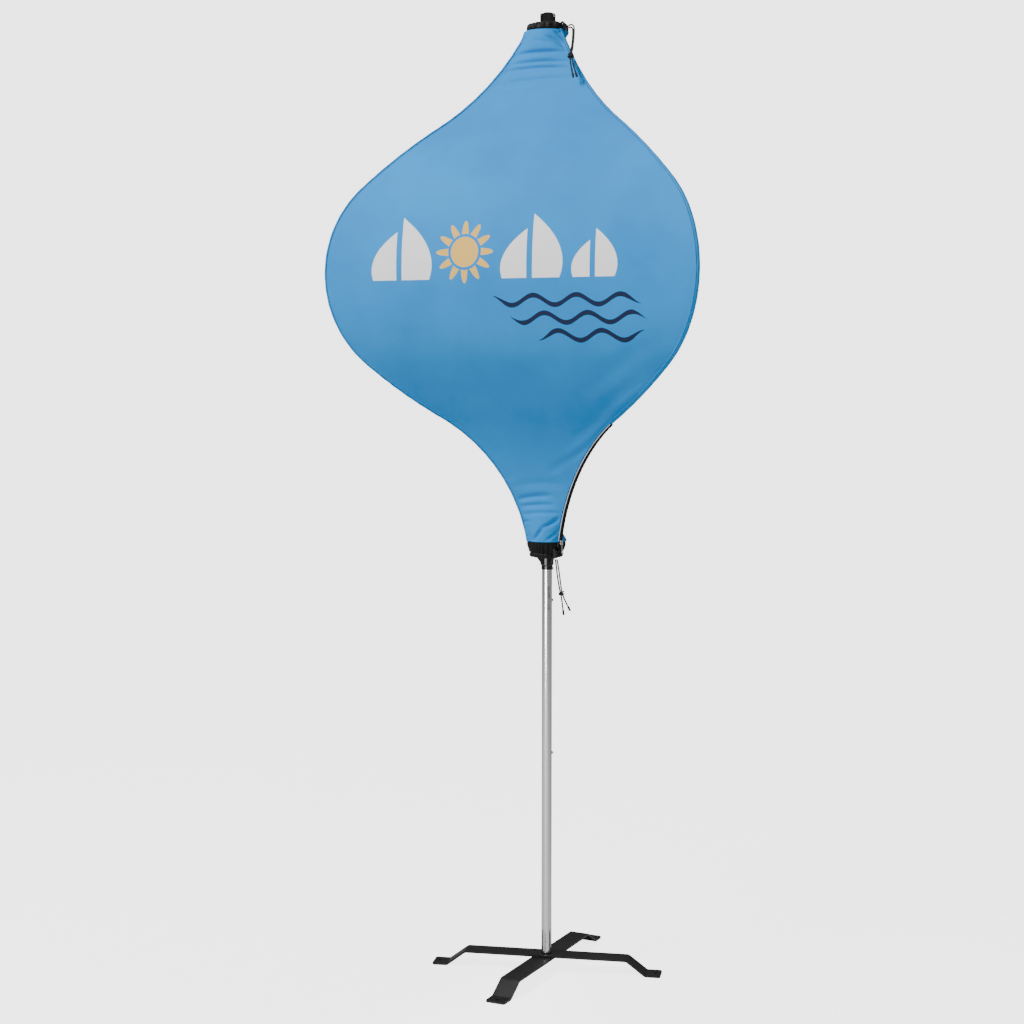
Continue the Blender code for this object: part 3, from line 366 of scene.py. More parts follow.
def thicken(obj, thickness):
    """Thickens a sheet by the same amount to both sides."""
    wall = obj.modifiers.new("thickness", "SOLIDIFY")
    wall.thickness = thickness
    wall.offset = 0.0


def turned(name, profile, look, body, place=Matrix(), steps=48, smooth_deg=30.0):
    """A closed turned shape from a (radius, height) profile that starts and ends on the axis."""
    bm = bmesh.new()
    rings = []
    for radius, height in profile:
        if radius < 1e-7:
            rings.append([bm.verts.new((0.0, 0.0, height))])
            continue
        angles = [2 * math.pi * step / steps for step in range(steps)]
        rings.append([bm.verts.new((radius * math.cos(a), radius * math.sin(a), height)) for a in angles])
    for first, second in zip(rings, rings[1:]):
        for step in range(steps):
            after = (step + 1) % steps
            corners = [first[step % len(first)], first[after % len(first)]]
            corners += [second[after % len(second)], second[step % len(second)]]
            bm.faces.new(list(dict.fromkeys(corners)))
    bm.transform(place)
    return from_bmesh(bm, name, look, body, smooth_deg)


def curve_tube(name, points, radius, look, body="mast", resolution=4):
    """A round tube with closed ends along these points."""
    curve = bpy.data.curves.new(name, "CURVE")
    curve.dimensions = "3D"
    curve.bevel_depth = radius
    curve.bevel_resolution = resolution
    curve.use_fill_caps = True
    spline = curve.splines.new("POLY")
    spline.points.add(len(points) - 1)
    for point, place in zip(spline.points, points):
        point.co = (*place, 1.0)
        spline.use_smooth = True
    made = bpy.data.objects.new(name, curve)
    bpy.context.scene.collection.objects.link(made)
    paint(made, look)
    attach(made, body)
    return made


def smooth_route(points, count):
    """Evenly spread points on a smooth curve through the route's own points."""
    points = [Vector(point) for point in points]
    ends = [2 * points[0] - points[1], *points, 2 * points[-1] - points[-2]]
    fine = []
    for a, b, c, d in zip(ends, ends[1:], ends[2:], ends[3:]):
        for index in range(24):
            t = index / 24
            bend = (2 * a - 5 * b + 4 * c - d) * t * t + (3 * b - a - 3 * c + d) * t**3
            fine.append(b + ((c - a) * t + bend) / 2)
    fine.append(points[-1])
    steps = [(second - first).length for first, second in zip(fine, fine[1:])]
    lengths = np.concatenate([[0.0], np.cumsum(steps)])
    wanted = np.linspace(0.0, lengths[-1], count)
    table = np.array([tuple(point) for point in fine])
    return [Vector([np.interp(at, lengths, table[:, axis]) for axis in range(3)]) for at in wanted]


# ---------------------------------------------------------------- cords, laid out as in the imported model
BUTTON_TURN = math.radians(22.9)
CORD_ACROSS = Vector((math.cos(BUTTON_TURN), math.sin(BUTTON_TURN), 0.0))
CORD_TOWARD = Vector((math.sin(BUTTON_TURN), -math.cos(BUTTON_TURN), 0.0))
CORD_RADIUS = 0.0018
CORD_POINTS = 36
KNOT_TURNS = 2.1
KNOT_STEPS = 60
TIP_GAP = 0.0002

TOP_CORD_1 = [
    (0.0474, 0.0455, 2.2904),
    (0.0506, 0.0479, 2.2932),
    (0.0545, 0.0508, 2.2936),
    (0.0586, 0.0539, 2.2910),
    (0.0608, 0.0560, 2.2843),
    (0.0606, 0.0630, 2.2680),
    (0.0590, 0.0730, 2.2500),
    (0.0567, 0.0840, 2.2330),
    (0.0542, 0.0970, 2.2140),
    (0.0570, 0.1110, 2.1920),
    (0.0625, 0.1255, 2.1700),
]
TOP_CORD_2 = [
    (0.0492, 0.0461, 2.2869),
    (0.0519, 0.0481, 2.2877),
    (0.0558, 0.0511, 2.2860),
    (0.0577, 0.0530, 2.2805),
    (0.0572, 0.0610, 2.2660),
    (0.0558, 0.0710, 2.2490),
    (0.0530, 0.0830, 2.2320),
    (0.0501, 0.0965, 2.2130),
    (0.0515, 0.1110, 2.1910),
    (0.0550, 0.1250, 2.1690),
]
BOTTOM_CORD_1 = [
    (0.0190, 0.0535, 1.0262),
    (0.0215, 0.0520, 1.0080),
    (0.0235, 0.0508, 0.9900),
    (0.0265, 0.0498, 0.9700),
    (0.0298, 0.0490, 0.9520),
    (0.0322, 0.0485, 0.9420),
    (0.0350, 0.0480, 0.9250),
    (0.0380, 0.0480, 0.9020),
]
BOTTOM_CORD_2 = [
    (0.0232, 0.0535, 1.0262),
    (0.0262, 0.0520, 1.0080),
    (0.0288, 0.0508, 0.9900),
    (0.0315, 0.0498, 0.9700),
    (0.0340, 0.0490, 0.9520),
    (0.0362, 0.0485, 0.9420),
    (0.0420, 0.0480, 0.9270),
    (0.0500, 0.0480, 0.9110),
]
CORDS = {
    "top_cord_1": (TOP_CORD_1, 0.158),
    "top_cord_2": (TOP_CORD_2, 0.149),
    "bottom_cord_1": (BOTTOM_CORD_1, 0.126),
    "bottom_cord_2": (BOTTOM_CORD_2, 0.119),
}


def cord_place(across, toward, up):
    return CORD_ACROSS * across + CORD_TOWARD * toward + Vector((0.0, 0.0, up))


def aimed(place, axis):
    return Matrix.Translation(place) @ axis.to_track_quat("Z", "Y").to_matrix().to_4x4()


def cord_tip(name, end, along):
    """The cord's melted and whipped end: a short sleeve with two ridges."""
    profile = [(0.0, 0.0), (0.0024, 0.0), (0.0028, 0.0010)]
    for index in range(7):
        profile.append((0.0028 if index % 2 else 0.0025, 0.0018 + index * 0.0013))
    profile += [(0.0022, 0.0116), (0.0011, 0.0122), (0.0, 0.0123)]
    tip = turned(f"{name}_end", profile, CORD_BRAID, "mast", aimed(end, along), 20)
    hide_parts(f"{name}_tip")
    return tip


def overhand_knot(name, place, axis, node):
    """Two turns of cord pulled tight round both strands."""
    frame_at = aimed(place, axis)
    points = []
    for index in range(KNOT_STEPS + 1):
        angle = 2 * math.pi * KNOT_TURNS * index / KNOT_STEPS
        reach = 0.0056 + 0.0007 * math.sin(2.7 * angle)
        rise = 0.0034 * math.sin(0.5 * angle + 0.4)
        points.append(frame_at @ Vector((reach * math.cos(angle), reach * math.sin(angle), rise)))
    made = curve_tube(name, points, CORD_RADIUS, CORD_BRAID)
    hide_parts(node)
    return made


def drawcords():
    for end, place, axis in (
        ("top", (0.0522, 0.0968, 2.2135), (-0.05, 0.58, -0.82)),
        ("bottom", (0.0340, 0.0488, 0.9430), (0.20, 0.0, -1.0)),
    ):
        lean = cord_place(*axis).normalized()
        overhand_knot(f"{end}_knot", cord_place(*place), lean, f"{end}_cord_knot")
    for name, (route, length) in CORDS.items():
        points = smooth_route([cord_place(*point) for point in route], CORD_POINTS)
        cord = curve_tube(f"{name}_line", points, CORD_RADIUS, CORD_BRAID)
        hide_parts(name)
        along = (points[-1] - points[-2]).normalized()
        tip = cord_tip(name, points[-1] + along * TIP_GAP, along)


drawcords()


# ---------------------------------------------------------------- the cover's outline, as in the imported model
OUTLINE_START = (0.0453, 1.0257, 4.45)
OUTLINE_ARCS = ((0.4346, 59.55), (1.230, 49.33), (0.2805, -46.96), (1.371, -56.76), (0.6215, -20.0))
RIB_DEG = {"a": 210.0, "b": 330.0, "c": 90.0}
RIB_INSET = 0.006
PANEL_LOW = 1.0660
PANEL_HIGH = 2.2868
FRONT_ROUND = ((1.050, 1.180), (2.180, 2.300))
SIDE_ROUND = ((1.058, 1.100), (2.255, 2.295))


def outline_table(count=1600):
    """Radius, height and lean along the outline, as arrays over its length."""
    radius, height, lean = OUTLINE_START
    lean = math.radians(lean)
    rows = []
    before = 0.0
    for arc, end in OUTLINE_ARCS:
        end = math.radians(end)
        turn = 1.0 if end > lean else -1.0
        length = arc * abs(end - lean)
        for share in np.linspace(0.0, 1.0, count // 5, endpoint=False):
            now = lean + (end - lean) * share
            out = radius + turn * arc * (math.cos(lean) - math.cos(now))
            up = height + turn * arc * (math.sin(now) - math.sin(lean))
            rows.append((before + length * share, out, up, now))
        radius += turn * arc * (math.cos(lean) - math.cos(end))
        height += turn * arc * (math.sin(end) - math.sin(lean))
        before += length
        lean = end
    return np.array(rows)


OUTLINE = outline_table()


def outline_at(height):
    """(length along it, radius, lean) of the outline at these heights."""
    heights = OUTLINE[:, 2]
    return tuple(np.interp(height, heights, OUTLINE[:, column]) for column in (0, 1, 3))


def outline_radius(height):
    return float(outline_at(height)[1])


def smoothstep(value):
    value = np.clip(value, 0.0, 1.0)
    return value * value * (3 - 2 * value)


def roundness(height, front):
    """1 where the cover is gathered round a hub, 0 where its panels are flat."""
    (low_end, low_start), (high_start, high_end) = FRONT_ROUND if front else SIDE_ROUND
    below = (low_start - height) / (low_start - low_end)
    above = (height - high_start) / (high_end - high_start)
    return smoothstep(np.maximum(below, above))


def direction(angle):
    return np.stack([np.cos(angle), np.sin(angle), np.zeros_like(angle)], axis=-1)


# ---------------------------------------------------------------- folds
# Folds of the front panel at its necks: (across, height) at each end, half-width and depth.
FRONT_FOLDS = (
    (0.046, 1.127, 0.004, 1.099, 0.0050, -0.0065),
    (0.008, 1.103, -0.014, 1.068, 0.0045, -0.0060),
    (0.040, 1.097, 0.011, 1.069, 0.0032, -0.0032),
    (0.044, 1.084, 0.026, 1.068, 0.0028, -0.0026),
    (-0.024, 1.090, -0.021, 1.064, 0.0028, -0.0036),
    (-0.031, 1.086, -0.033, 1.064, 0.0026, -0.0030),
    (-0.056, 1.112, -0.024, 1.117, 0.0040, -0.0028),
    (-0.058, 1.133, 0.058, 1.141, 0.0052, -0.0030),
    (-0.060, 1.152, 0.036, 1.160, 0.0055, -0.0044),
    (-0.072, 1.169, 0.030, 1.183, 0.0062, -0.0050),
    (-0.068, 1.206, 0.070, 1.214, 0.0110, -0.0026),
    (0.014, 2.269, 0.066, 2.236, 0.0040, -0.0060),
    (0.026, 2.280, 0.058, 2.254, 0.0030, -0.0036),
    (0.036, 2.280, 0.064, 2.262, 0.0026, -0.0030),
    (-0.014, 2.262, 0.030, 2.246, 0.0050, -0.0020),
    (-0.060, 2.258, -0.030, 2.269, 0.0030, -0.0036),
    (-0.066, 2.247, -0.034, 2.256, 0.0030, -0.0032),
    (-0.064, 2.238, -0.040, 2.245, 0.0026, -0.0024),
    (-0.080, 2.228, 0.072, 2.229, 0.0058, -0.0062),
    (-0.090, 2.207, 0.086, 2.206, 0.0050, -0.0042),
    (-0.098, 2.192, 0.096, 2.191, 0.0066, -0.0060),
    (-0.108, 2.160, 0.116, 2.164, 0.0090, -0.0052),
    (-0.120, 2.128, 0.100, 2.136, 0.0120, -0.0026),
)
# Tension folds across every panel, in the same form.
PANEL_FOLDS = (
    (0.080, 1.300, 0.300, 1.470, 0.016, -0.0034),
    (0.060, 1.270, 0.240, 1.385, 0.012, 0.0026),
    (0.130, 1.410, 0.360, 1.560, 0.020, -0.0028),
    (0.020, 1.235, 0.150, 1.305, 0.011, -0.0030),
    (0.200, 1.380, 0.330, 1.455, 0.010, 0.0020),
    (-0.120, 1.270, -0.300, 1.440, 0.018, -0.0016),
    (-0.060, 1.230, -0.160, 1.300, 0.012, 0.0014),
    (0.120, 2.060, 0.300, 1.960, 0.018, -0.0014),
    (-0.100, 2.080, -0.280, 1.970, 0.018, -0.0012),
)


def fold_field(first, second, ends, width, depth):
    """Depth of one fold at points given by two coordinates in metres, fading out at its ends."""
    start_x, start_z, end_x, end_z = ends
    run_x = end_x - start_x
    run_z = end_z - start_z
    length = np.sqrt(run_x**2 + run_z**2)
    along = ((first - start_x) * run_x + (second - start_z) * run_z) / length**2
    across = ((first - start_x) * run_z - (second - start_z) * run_x) / length
    bow = 0.12 * length * (np.clip(along, 0, 1) - 0.5) ** 2
    fade = np.exp(-(((along - 0.5) / 0.42) ** 4))
    return depth * fade * np.exp(-(((across - bow) / width) ** 2))


def wrinkles(height, across, span, seed, front):
    """Outward move of the cloth at each point of a panel."""
    moved = ripple(across, height, seed) + puckers(height, span, seed)
    side = -1.0 if seed % 2 else 1.0
    for *ends, width, depth in PANEL_FOLDS:
        moved += fold_field(across * (1.0 if front else side), height, ends, width, depth)
    if front:
        for *ends, width, depth in FRONT_FOLDS:
            moved += fold_field(across, height, ends, width, depth)
        return moved
    steps = np.random.default_rng(seed)
    for index in range(18):
        middle = steps.uniform(1.075, 1.21) if index % 2 else steps.uniform(2.15, 2.275)
        half = 0.80 * outline_radius(middle) * steps.uniform(0.45, 1.0)
        centre = steps.uniform(-0.3, 0.3) * half
        tilt = steps.uniform(-0.22, 0.22) * half
        ends = (centre - half, middle - tilt, centre + half, middle + tilt)
        moved += fold_field(across, height, ends, steps.uniform(0.004, 0.009), -steps.uniform(0.002, 0.005))
    return moved


def puckers(height, span, seed):
    """Small gathers beside each rib's seam."""
    length = outline_at(height)[0]
    edge = np.minimum(span, span.max() - span)
    beat = 0.5 + 0.5 * np.sin(length * 31.0 + seed)
    wave = np.sin(length * 210.0 + 2.5 * np.sin(length * 27.0 + seed) + seed)
    return 0.00055 * beat * wave * np.exp(-edge / 0.018)


def ripple(across, height, seed):
    """Very shallow unevenness all over the cloth."""
    flat = np.stack([across.ravel(), height.ravel()], axis=-1)
    values = [
        noise.noise(Vector((x * 5.0 + seed, z * 3.0, 0.3))) * 0.0022
        + noise.noise(Vector((x * 14.0, z * 11.0 + seed, 1.7))) * 0.0007
        for x, z in flat
    ]
    return np.array(values).reshape(across.shape)


# ---------------------------------------------------------------- panels
ROWS = 430
COLUMNS = 116
NECK_CROWDING = 0.75
# The panels stand out a little under the top collar, most on the side at FLARE_DEG.
FLARE_DEPTH = 0.0040
FLARE_HEIGHT = 0.022
FLARE_DEG = 200.0


def panel_points(first, second, seed, front, smooth=False, rows=ROWS, columns=COLUMNS):
    """Points of one panel, from over one rib to over the next."""
    start_length = float(outline_at(PANEL_LOW)[0])
    end_length = float(outline_at(PANEL_HIGH)[0])
    share = np.linspace(0.0, 1.0, rows)[:, None]
    share = share - NECK_CROWDING * np.sin(2 * math.pi * share) / (2 * math.pi)
    lengths = start_length + (end_length - start_length) * share
    radius = np.interp(lengths, OUTLINE[:, 0], OUTLINE[:, 1])
    height = np.interp(lengths, OUTLINE[:, 0], OUTLINE[:, 2])
    lean = np.interp(lengths, OUTLINE[:, 0], OUTLINE[:, 3])
    reach = radius - RIB_INSET * np.cos(lean)
    level = height + RIB_INSET * np.sin(lean)
    share = np.linspace(0.0, 1.0, columns)[None, :]
    from_angle = math.radians(RIB_DEG[first])
    mid_angle = from_angle + math.radians(60.0)
    rib_one = direction(np.full(1, from_angle))[0]
    rib_two = direction(np.full(1, from_angle + math.radians(120.0)))[0]
    flat_out = direction(np.full(1, mid_angle))[0]
    angle = from_angle + math.radians(120.0) * share + 0 * reach
    out = direction(angle)
    chord = (rib_one * (1 - share)[..., None] + rib_two * share[..., None]) * reach[..., None]
    flat = chord + flat_out * RIB_INSET
    bowed = out * (reach + RIB_INSET)[..., None]
    mix = (roundness(height, front) + 0 * share)[..., None]
    points = flat * (1 - mix) + bowed * mix
    points[..., 2] = level + 0 * share
    if smooth:
        return points
    across = (share - 0.5) * math.sqrt(3.0) * reach
    span = share * math.sqrt(3.0) * reach
    normal = flat_out * (1 - mix) + out * mix
    tall = level + 0 * share
    moved = wrinkles(tall, across, span, seed, front)
    edge = np.minimum(share, 1 - share) * math.sqrt(3.0) * reach
    moved *= smoothstep(edge / np.minimum(0.016, 0.12 * reach))
    flare = FLARE_DEPTH * np.exp(-(((PANEL_HIGH - tall) / FLARE_HEIGHT) ** 2))
    flare = flare * (0.7 + 0.5 * np.cos(angle - math.radians(FLARE_DEG)))
    points += normal * (moved + flare)[..., None]
    return points


def panels():
    for name, first, second, seed, front in (
        ("panel_front", "a", "b", 2, True),
        ("panel_right", "b", "c", 3, False),
        ("panel_left", "c", "a", 4, False),
    ):
        points = panel_points(first, second, seed, front)
        sheet = grid(f"{name}_cloth", points, PANEL_PRINTED if front else PANEL_PLAIN)
        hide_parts(name)
        plain = panel_points(first, second, seed, front, smooth=True, rows=60, columns=24)


# ---------------------------------------------------------------- sleeves and seams
SLEEVE_LOW = 1.0665
SLEEVE_HIGH = 2.2862
SLEEVE_WRAP_DEG = 118.0


def rib_frame(rib, lengths):
    """Centre, outward and sideways directions along a rib."""
    radius = np.interp(lengths, OUTLINE[:, 0], OUTLINE[:, 1])
    height = np.interp(lengths, OUTLINE[:, 0], OUTLINE[:, 2])
    lean = np.interp(lengths, OUTLINE[:, 0], OUTLINE[:, 3])
    angle = math.radians(RIB_DEG[rib])
    out = np.array([math.cos(angle), math.sin(angle), 0.0])
    up = np.array([0.0, 0.0, 1.0])
    side = np.cross(up, out)
    away = out * np.cos(lean)[:, None] - up * np.sin(lean)[:, None]
    surface = out * radius[:, None] + up * height[:, None]
    return surface - away * RIB_INSET, away, side


def sleeve(rib):
    """The rib's pocket: a wrap of cloth round its outer side, a little wavy between stitches."""
    low = float(outline_at(SLEEVE_LOW)[0])
    high = float(outline_at(SLEEVE_HIGH)[0])
    lengths = np.linspace(low, high, 420)
    centre, away, side = rib_frame(rib, lengths)
    turn = np.radians(np.linspace(-SLEEVE_WRAP_DEG, SLEEVE_WRAP_DEG, 19))
    wave = 0.00022 * np.sin(lengths * 150.0 + 1.4 * np.sin(lengths * 23.0))
    radius = RIB_INSET + 0.0005 + wave[:, None] * np.cos(turn)[None, :] ** 2
    points = centre[:, None, :] + radius[..., None] * (
        away[:, None, :] * np.cos(turn)[None, :, None] + side[None, None, :] * np.sin(turn)[None, :, None]
    )
    made = grid(f"sleeve_{rib}_cloth", points, SLEEVE_CLOTH)
    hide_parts(f"sleeve_{rib}")
    for hand in (-1, 1):
        if rib == "b" and hand == 1:
            continue
        seam(rib, hand, lengths)


def seam(rib, hand, lengths):
    """The stitched seam beside the pocket. Its thread is coloured darker and greyer than the cloth, as painted
    shade of the groove where the pocket meets the panel.
    """
    centre, away, side = rib_frame(rib, lengths[::2])
    lift = RIB_INSET - 0.0010
    line = centre + away * lift * 0.72 + side * hand * 0.0062
    curve_tube(f"seam_{rib}_{'left' if hand < 0 else 'right'}", line, 0.00055, SEAM_THREAD_AND_SHADE, resolution=1)


# ---------------------------------------------------------------- gathered hems
def collar_bottom():
    """The black hem gathered on its drawcord under the cover."""
    hem_low = float(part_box("collar_bottom")[0][2])
    top = 1.0662
    hem = hem_low + 0.012
    profile = (
        (top + 0.002, 0.0462, 0.0006),
        (top, 0.0466, 0.0010),
        (top - 0.008, 0.0462, 0.0020),
        (hem + 0.012, 0.0440, 0.0026),
        (hem + 0.004, 0.0402, 0.0026),
        (hem, 0.0385, 0.0012),
        (hem - 0.002, 0.0402, 0.0008),
        (hem - 0.004, 0.0410, 0.0008),
        (hem - 0.008, 0.0404, 0.0010),
        (hem - 0.011, 0.0380, 0.0010),
        (hem - 0.012, 0.0300, 0.0006),
    )
    gathered("collar_bottom", profile, 26, 5, 0.0018)


def collar_top():
    """The black lid of cloth gathered round the top hub."""
    low = float(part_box("collar_top")[0][2])
    profile = (
        (low - 0.002, 0.0488, 0.0008),
        (low + 0.003, 0.0498, 0.0016),
        (low + 0.008, 0.0494, 0.0026),
        (low + 0.013, 0.0468, 0.0030),
        (low + 0.0165, 0.0400, 0.0028),
        (low + 0.0180, 0.0300, 0.0020),
        (low + 0.0186, 0.0196, 0.0003),
    )
    gathered("collar_top", profile, 17, 9, 0.0005)


def gathered(name, profile, pleats, seed, shift_left):
    """A pleated ring of cloth. Its folds differ in size, and it sits a little to one side, as tied."""
    columns = 288
    angle = np.linspace(0.0, 2 * math.pi, columns, endpoint=False)[None, :]
    profile = np.array(profile)
    at = np.arange(len(profile))
    fine = np.linspace(0, len(profile) - 1, 56)
    level = np.interp(fine, at, profile[:, 0])[:, None]
    radius = np.interp(fine, at, profile[:, 1])[:, None]
    depth = np.interp(fine, at, profile[:, 2])[:, None]
    kernel = np.array([1, 2, 3, 2, 1]) / 9.0
    for column in (level, radius, depth):
        padded = np.pad(column[:, 0], 2, mode="edge")
        column[:, 0] = np.convolve(padded, kernel, mode="valid")
    steps = np.random.default_rng(seed)
    shift = steps.uniform(0, 2 * math.pi, 4)
    turn = pleats * angle + 1.3 * np.sin(3 * angle + shift[0]) + 0.9 * np.sin(7 * angle + shift[1])
    size = 0.65 + 0.35 * np.sin(2 * angle + shift[2]) * np.sin(5 * angle + shift[3])
    drift = 0.6 * np.sin(fine / 9.0 + shift[1])[:, None]
    fold = np.sin(turn + drift)
    sharp = np.sign(fold) * np.abs(fold) ** 0.75
    out = radius + depth * size * sharp
    sway = level + 0.0007 * np.sin(3 * angle + shift[3]) + 0.0005 * size * np.sin(turn + 1.2)
    points = direction(angle + 0 * level) * out[..., None]
    points[..., 2] = sway
    hang = smoothstep((out - 0.022) / 0.014)[..., None]
    points -= np.array(CORD_ACROSS) * shift_left * hang
    made = grid(f"{name}_cloth", points[::-1], HEM_CLOTH, wrap=True)
    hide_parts(name)


# ---------------------------------------------------------------- zip
ZIP_ARC = OUTLINE_ARCS[0][0]
ZIP_LEAN = math.radians(OUTLINE_START[2])
ZIP_CENTRE_OUT = OUTLINE_START[0] + ZIP_ARC * math.cos(ZIP_LEAN)
ZIP_CENTRE_Z = OUTLINE_START[1] - ZIP_ARC * math.sin(ZIP_LEAN)
ZIP_TURN = math.radians(RIB_DEG["b"])
ZIP_OUT = np.array([math.cos(ZIP_TURN), math.sin(ZIP_TURN), 0.0])
ZIP_SIDE = np.array([-ZIP_OUT[1], ZIP_OUT[0], 0.0])
SLIDER_AT = math.radians(9.94)
TAPE_HALF = 0.0045
TAPE_THICKNESS = 0.0004
TAPE_FROM_DEG = 7.0
TAPE_TO_DEG = 57.0
PIPING_FROM_DEG = 10.4
PIPING_RADIUS = 0.0009
TEETH_FROM_DEG = 7.3
TEETH_TO_DEG = 56.7
TOOTH_PITCH = 0.0016
BRIDGE_REACH = 0.0036
BRIDGE_RISE = 0.0038
BRIDGE_SINK = 0.0006
TAB_STEPS = 24


def zip_point(lean, off, aside):
    reach = ZIP_ARC - off
    out = ZIP_CENTRE_OUT - reach * math.cos(lean)
    up = ZIP_CENTRE_Z + reach * math.sin(lean)
    return ZIP_OUT * out + ZIP_SIDE * aside + np.array([0.0, 0.0, up])


def zip_frame(lean, off, aside=0.0):
    """Across, along and away from the cover at a point of the zip."""
    along = ZIP_OUT * math.sin(lean) + np.array([0.0, 0.0, math.cos(lean)])
    away = ZIP_OUT * math.cos(lean) - np.array([0.0, 0.0, math.sin(lean)])
    place = Matrix([[ZIP_SIDE[i], along[i], away[i]] for i in range(3)]).to_4x4()
    place.translation = Vector(zip_point(lean, off, aside))
    return place


def zip_tape():
    """The tape that the teeth sit on, and the white piping beside it."""
    leans = np.radians(np.linspace(TAPE_FROM_DEG, TAPE_TO_DEG, 160))
    sides = np.linspace(-TAPE_HALF, TAPE_HALF + 0.0015, 9)
    lifts = [0.0009 + 0.0002 * math.cos(side * 600) for side in sides]
    points = np.array([[zip_point(lean, *edge) for edge in zip(lifts, sides)] for lean in leans])
    tape = grid("zip_tape_cloth", points, TAPE_CLOTH)
    thicken(tape, TAPE_THICKNESS)
    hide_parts("zip_tape")
    leans = np.radians(np.linspace(PIPING_FROM_DEG, TAPE_TO_DEG, 90))
    line = [zip_point(lean, 0.0010, -TAPE_HALF - PIPING_RADIUS) for lean in leans]
    piping = curve_tube("zip_piping_line", line, PIPING_RADIUS, PIPING_CLOTH)
    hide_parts("zip_piping")


def zip_teeth():
    """Moulded teeth, alternating from side to side along the closed chain."""
    bm = bmesh.new()
    step = TOOTH_PITCH / (ZIP_ARC - 0.0022)
    leans = np.arange(math.radians(TEETH_FROM_DEG), math.radians(TEETH_TO_DEG), step)
    for index, lean in enumerate(leans):
        hand = 1 if index % 2 else -1
        made = bmesh.ops.create_cube(bm, size=1.0)["verts"]
        place = zip_frame(float(lean), 0.0021, 0.00065 * hand)
        size = Matrix.Diagonal((0.0026, TOOTH_PITCH * 0.72, 0.0013, 1.0))
        for vert in made:
            vert.co = place @ (size @ vert.co)
    chain = from_bmesh(bm, "zip_teeth", LOCK_PLASTIC)
    edge = chain.modifiers.new("edge", "BEVEL")
    edge.width = 0.00025
    edge.segments = 1
    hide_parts("zip_chain")


def rounded_box(bm, size, place, bevel=0.0006):
    made = bmesh.ops.create_cube(bm, size=1.0)["verts"]
    for vert in made:
        vert.co = Matrix.Diagonal((*size, 1.0)) @ vert.co
    edges = list({edge for vert in made for edge in vert.link_edges})
    made = bmesh.ops.bevel(bm, geom=edges, offset=bevel, segments=3, affect="EDGES", profile=0.5)
    touched = {vert for face in made["faces"] for vert in face.verts}
    for vert in touched:
        vert.co = place @ vert.co


def zip_slider():
    """A waisted slider body with a bridge, and a pull that hangs from it."""
    bm = bmesh.new()
    low = 0.0020
    high = 0.0066
    for along, half, length in ((0.0022, 0.0043, 0.0062), (-0.0026, 0.0034, 0.0054)):
        place = zip_frame(SLIDER_AT + along / ZIP_ARC, high - 0.0009)
        rounded_box(bm, (2 * half, length, 0.0018), place, 0.0007)
    for hand in (-1, 1):
        place = zip_frame(SLIDER_AT + 0.0010 / ZIP_ARC, (low + high) / 2 - 0.0004, hand * 0.0037)
        rounded_box(bm, (0.0010, 0.0085, high - low - 0.0008), place, 0.0004)
    slider = from_bmesh(bm, "zip_slider_body", STEEL_METAL, "slider", 35.0)
    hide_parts("zip_slider")
    face = zip_frame(SLIDER_AT, high)
    turns = np.linspace(0, math.pi, 24)
    bridge = [(0.0, BRIDGE_REACH * math.cos(a), BRIDGE_RISE * math.sin(a) - BRIDGE_SINK) for a in turns]
    arch = [face @ Vector(point) for point in bridge]
    curve_tube("zip_slider_bridge", arch, 0.00075, STEEL_METAL, "slider")

    low_box, high_box = (Vector(corner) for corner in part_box("zip_pull"))
    centre = (low_box + high_box) / 2
    hinge = Vector((centre.x, centre.y, high_box.z - 0.0008))
    place = Matrix([[ZIP_SIDE[i], (0.0, 0.0, 1.0)[i], ZIP_OUT[i]] for i in range(3)]).to_4x4()
    place.translation = hinge
    loop = [(0.0, 0.0), (0.0017, 0.0), (0.0022, -0.0012), (0.0024, -0.0070)]
    loop += [(0.0018, -0.0086), (0.0, -0.0090)]
    loop += [(-x, z) for x, z in loop[-2:0:-1]]
    ring_points = [place @ Vector((x, z, 0.0)) for x, z in (*loop, loop[0])]
    curve = curve_tube("zip_pull_link", ring_points, 0.00055, STEEL_METAL, "pull")
    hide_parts("zip_pull")
    bm = bmesh.new()
    outline = []
    angles = [2 * math.pi * index / TAB_STEPS for index in range(TAB_STEPS)]
    for angle in angles:
        half = 0.0022 + 0.0006 * smoothstep((-math.sin(angle) + 1) / 2)
        reach = 0.0100 if math.sin(angle) > 0 else 0.0105
        outline.append((half * math.cos(angle), -0.0185 + reach * math.sin(angle)))
    eye = [(0.0011 * math.cos(angle), -0.0245 + 0.0022 * math.sin(angle)) for angle in angles]
    rings = []
    for level, inset in ((-0.0005, 0.00015), (-0.0003, 0.0), (0.0003, 0.0), (0.0005, 0.00015)):
        outer = [bm.verts.new((x * (1 - inset * 300), z, level)) for x, z in outline]
        inner = [bm.verts.new((x, z, level)) for x, z in eye]
        rings.append((outer, inner))
    for (outer, inner), (outer_up, inner_up) in zip(rings, rings[1:]):
        for step in range(TAB_STEPS):
            after = (step + 1) % TAB_STEPS
            bm.faces.new((outer[step], outer[after], outer_up[after], outer_up[step]))
            bm.faces.new((inner[after], inner[step], inner_up[step], inner_up[after]))
    for outer, inner in (rings[0], rings[-1]):
        for step in range(TAB_STEPS):
            after = (step + 1) % TAB_STEPS
            bm.faces.new((outer[step], inner[step], inner[after], outer[after]))
    bm.transform(place)
    pull = from_bmesh(bm, "zip_pull_tab", STEEL_METAL, "pull", 35.0)
    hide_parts("zip_pull")


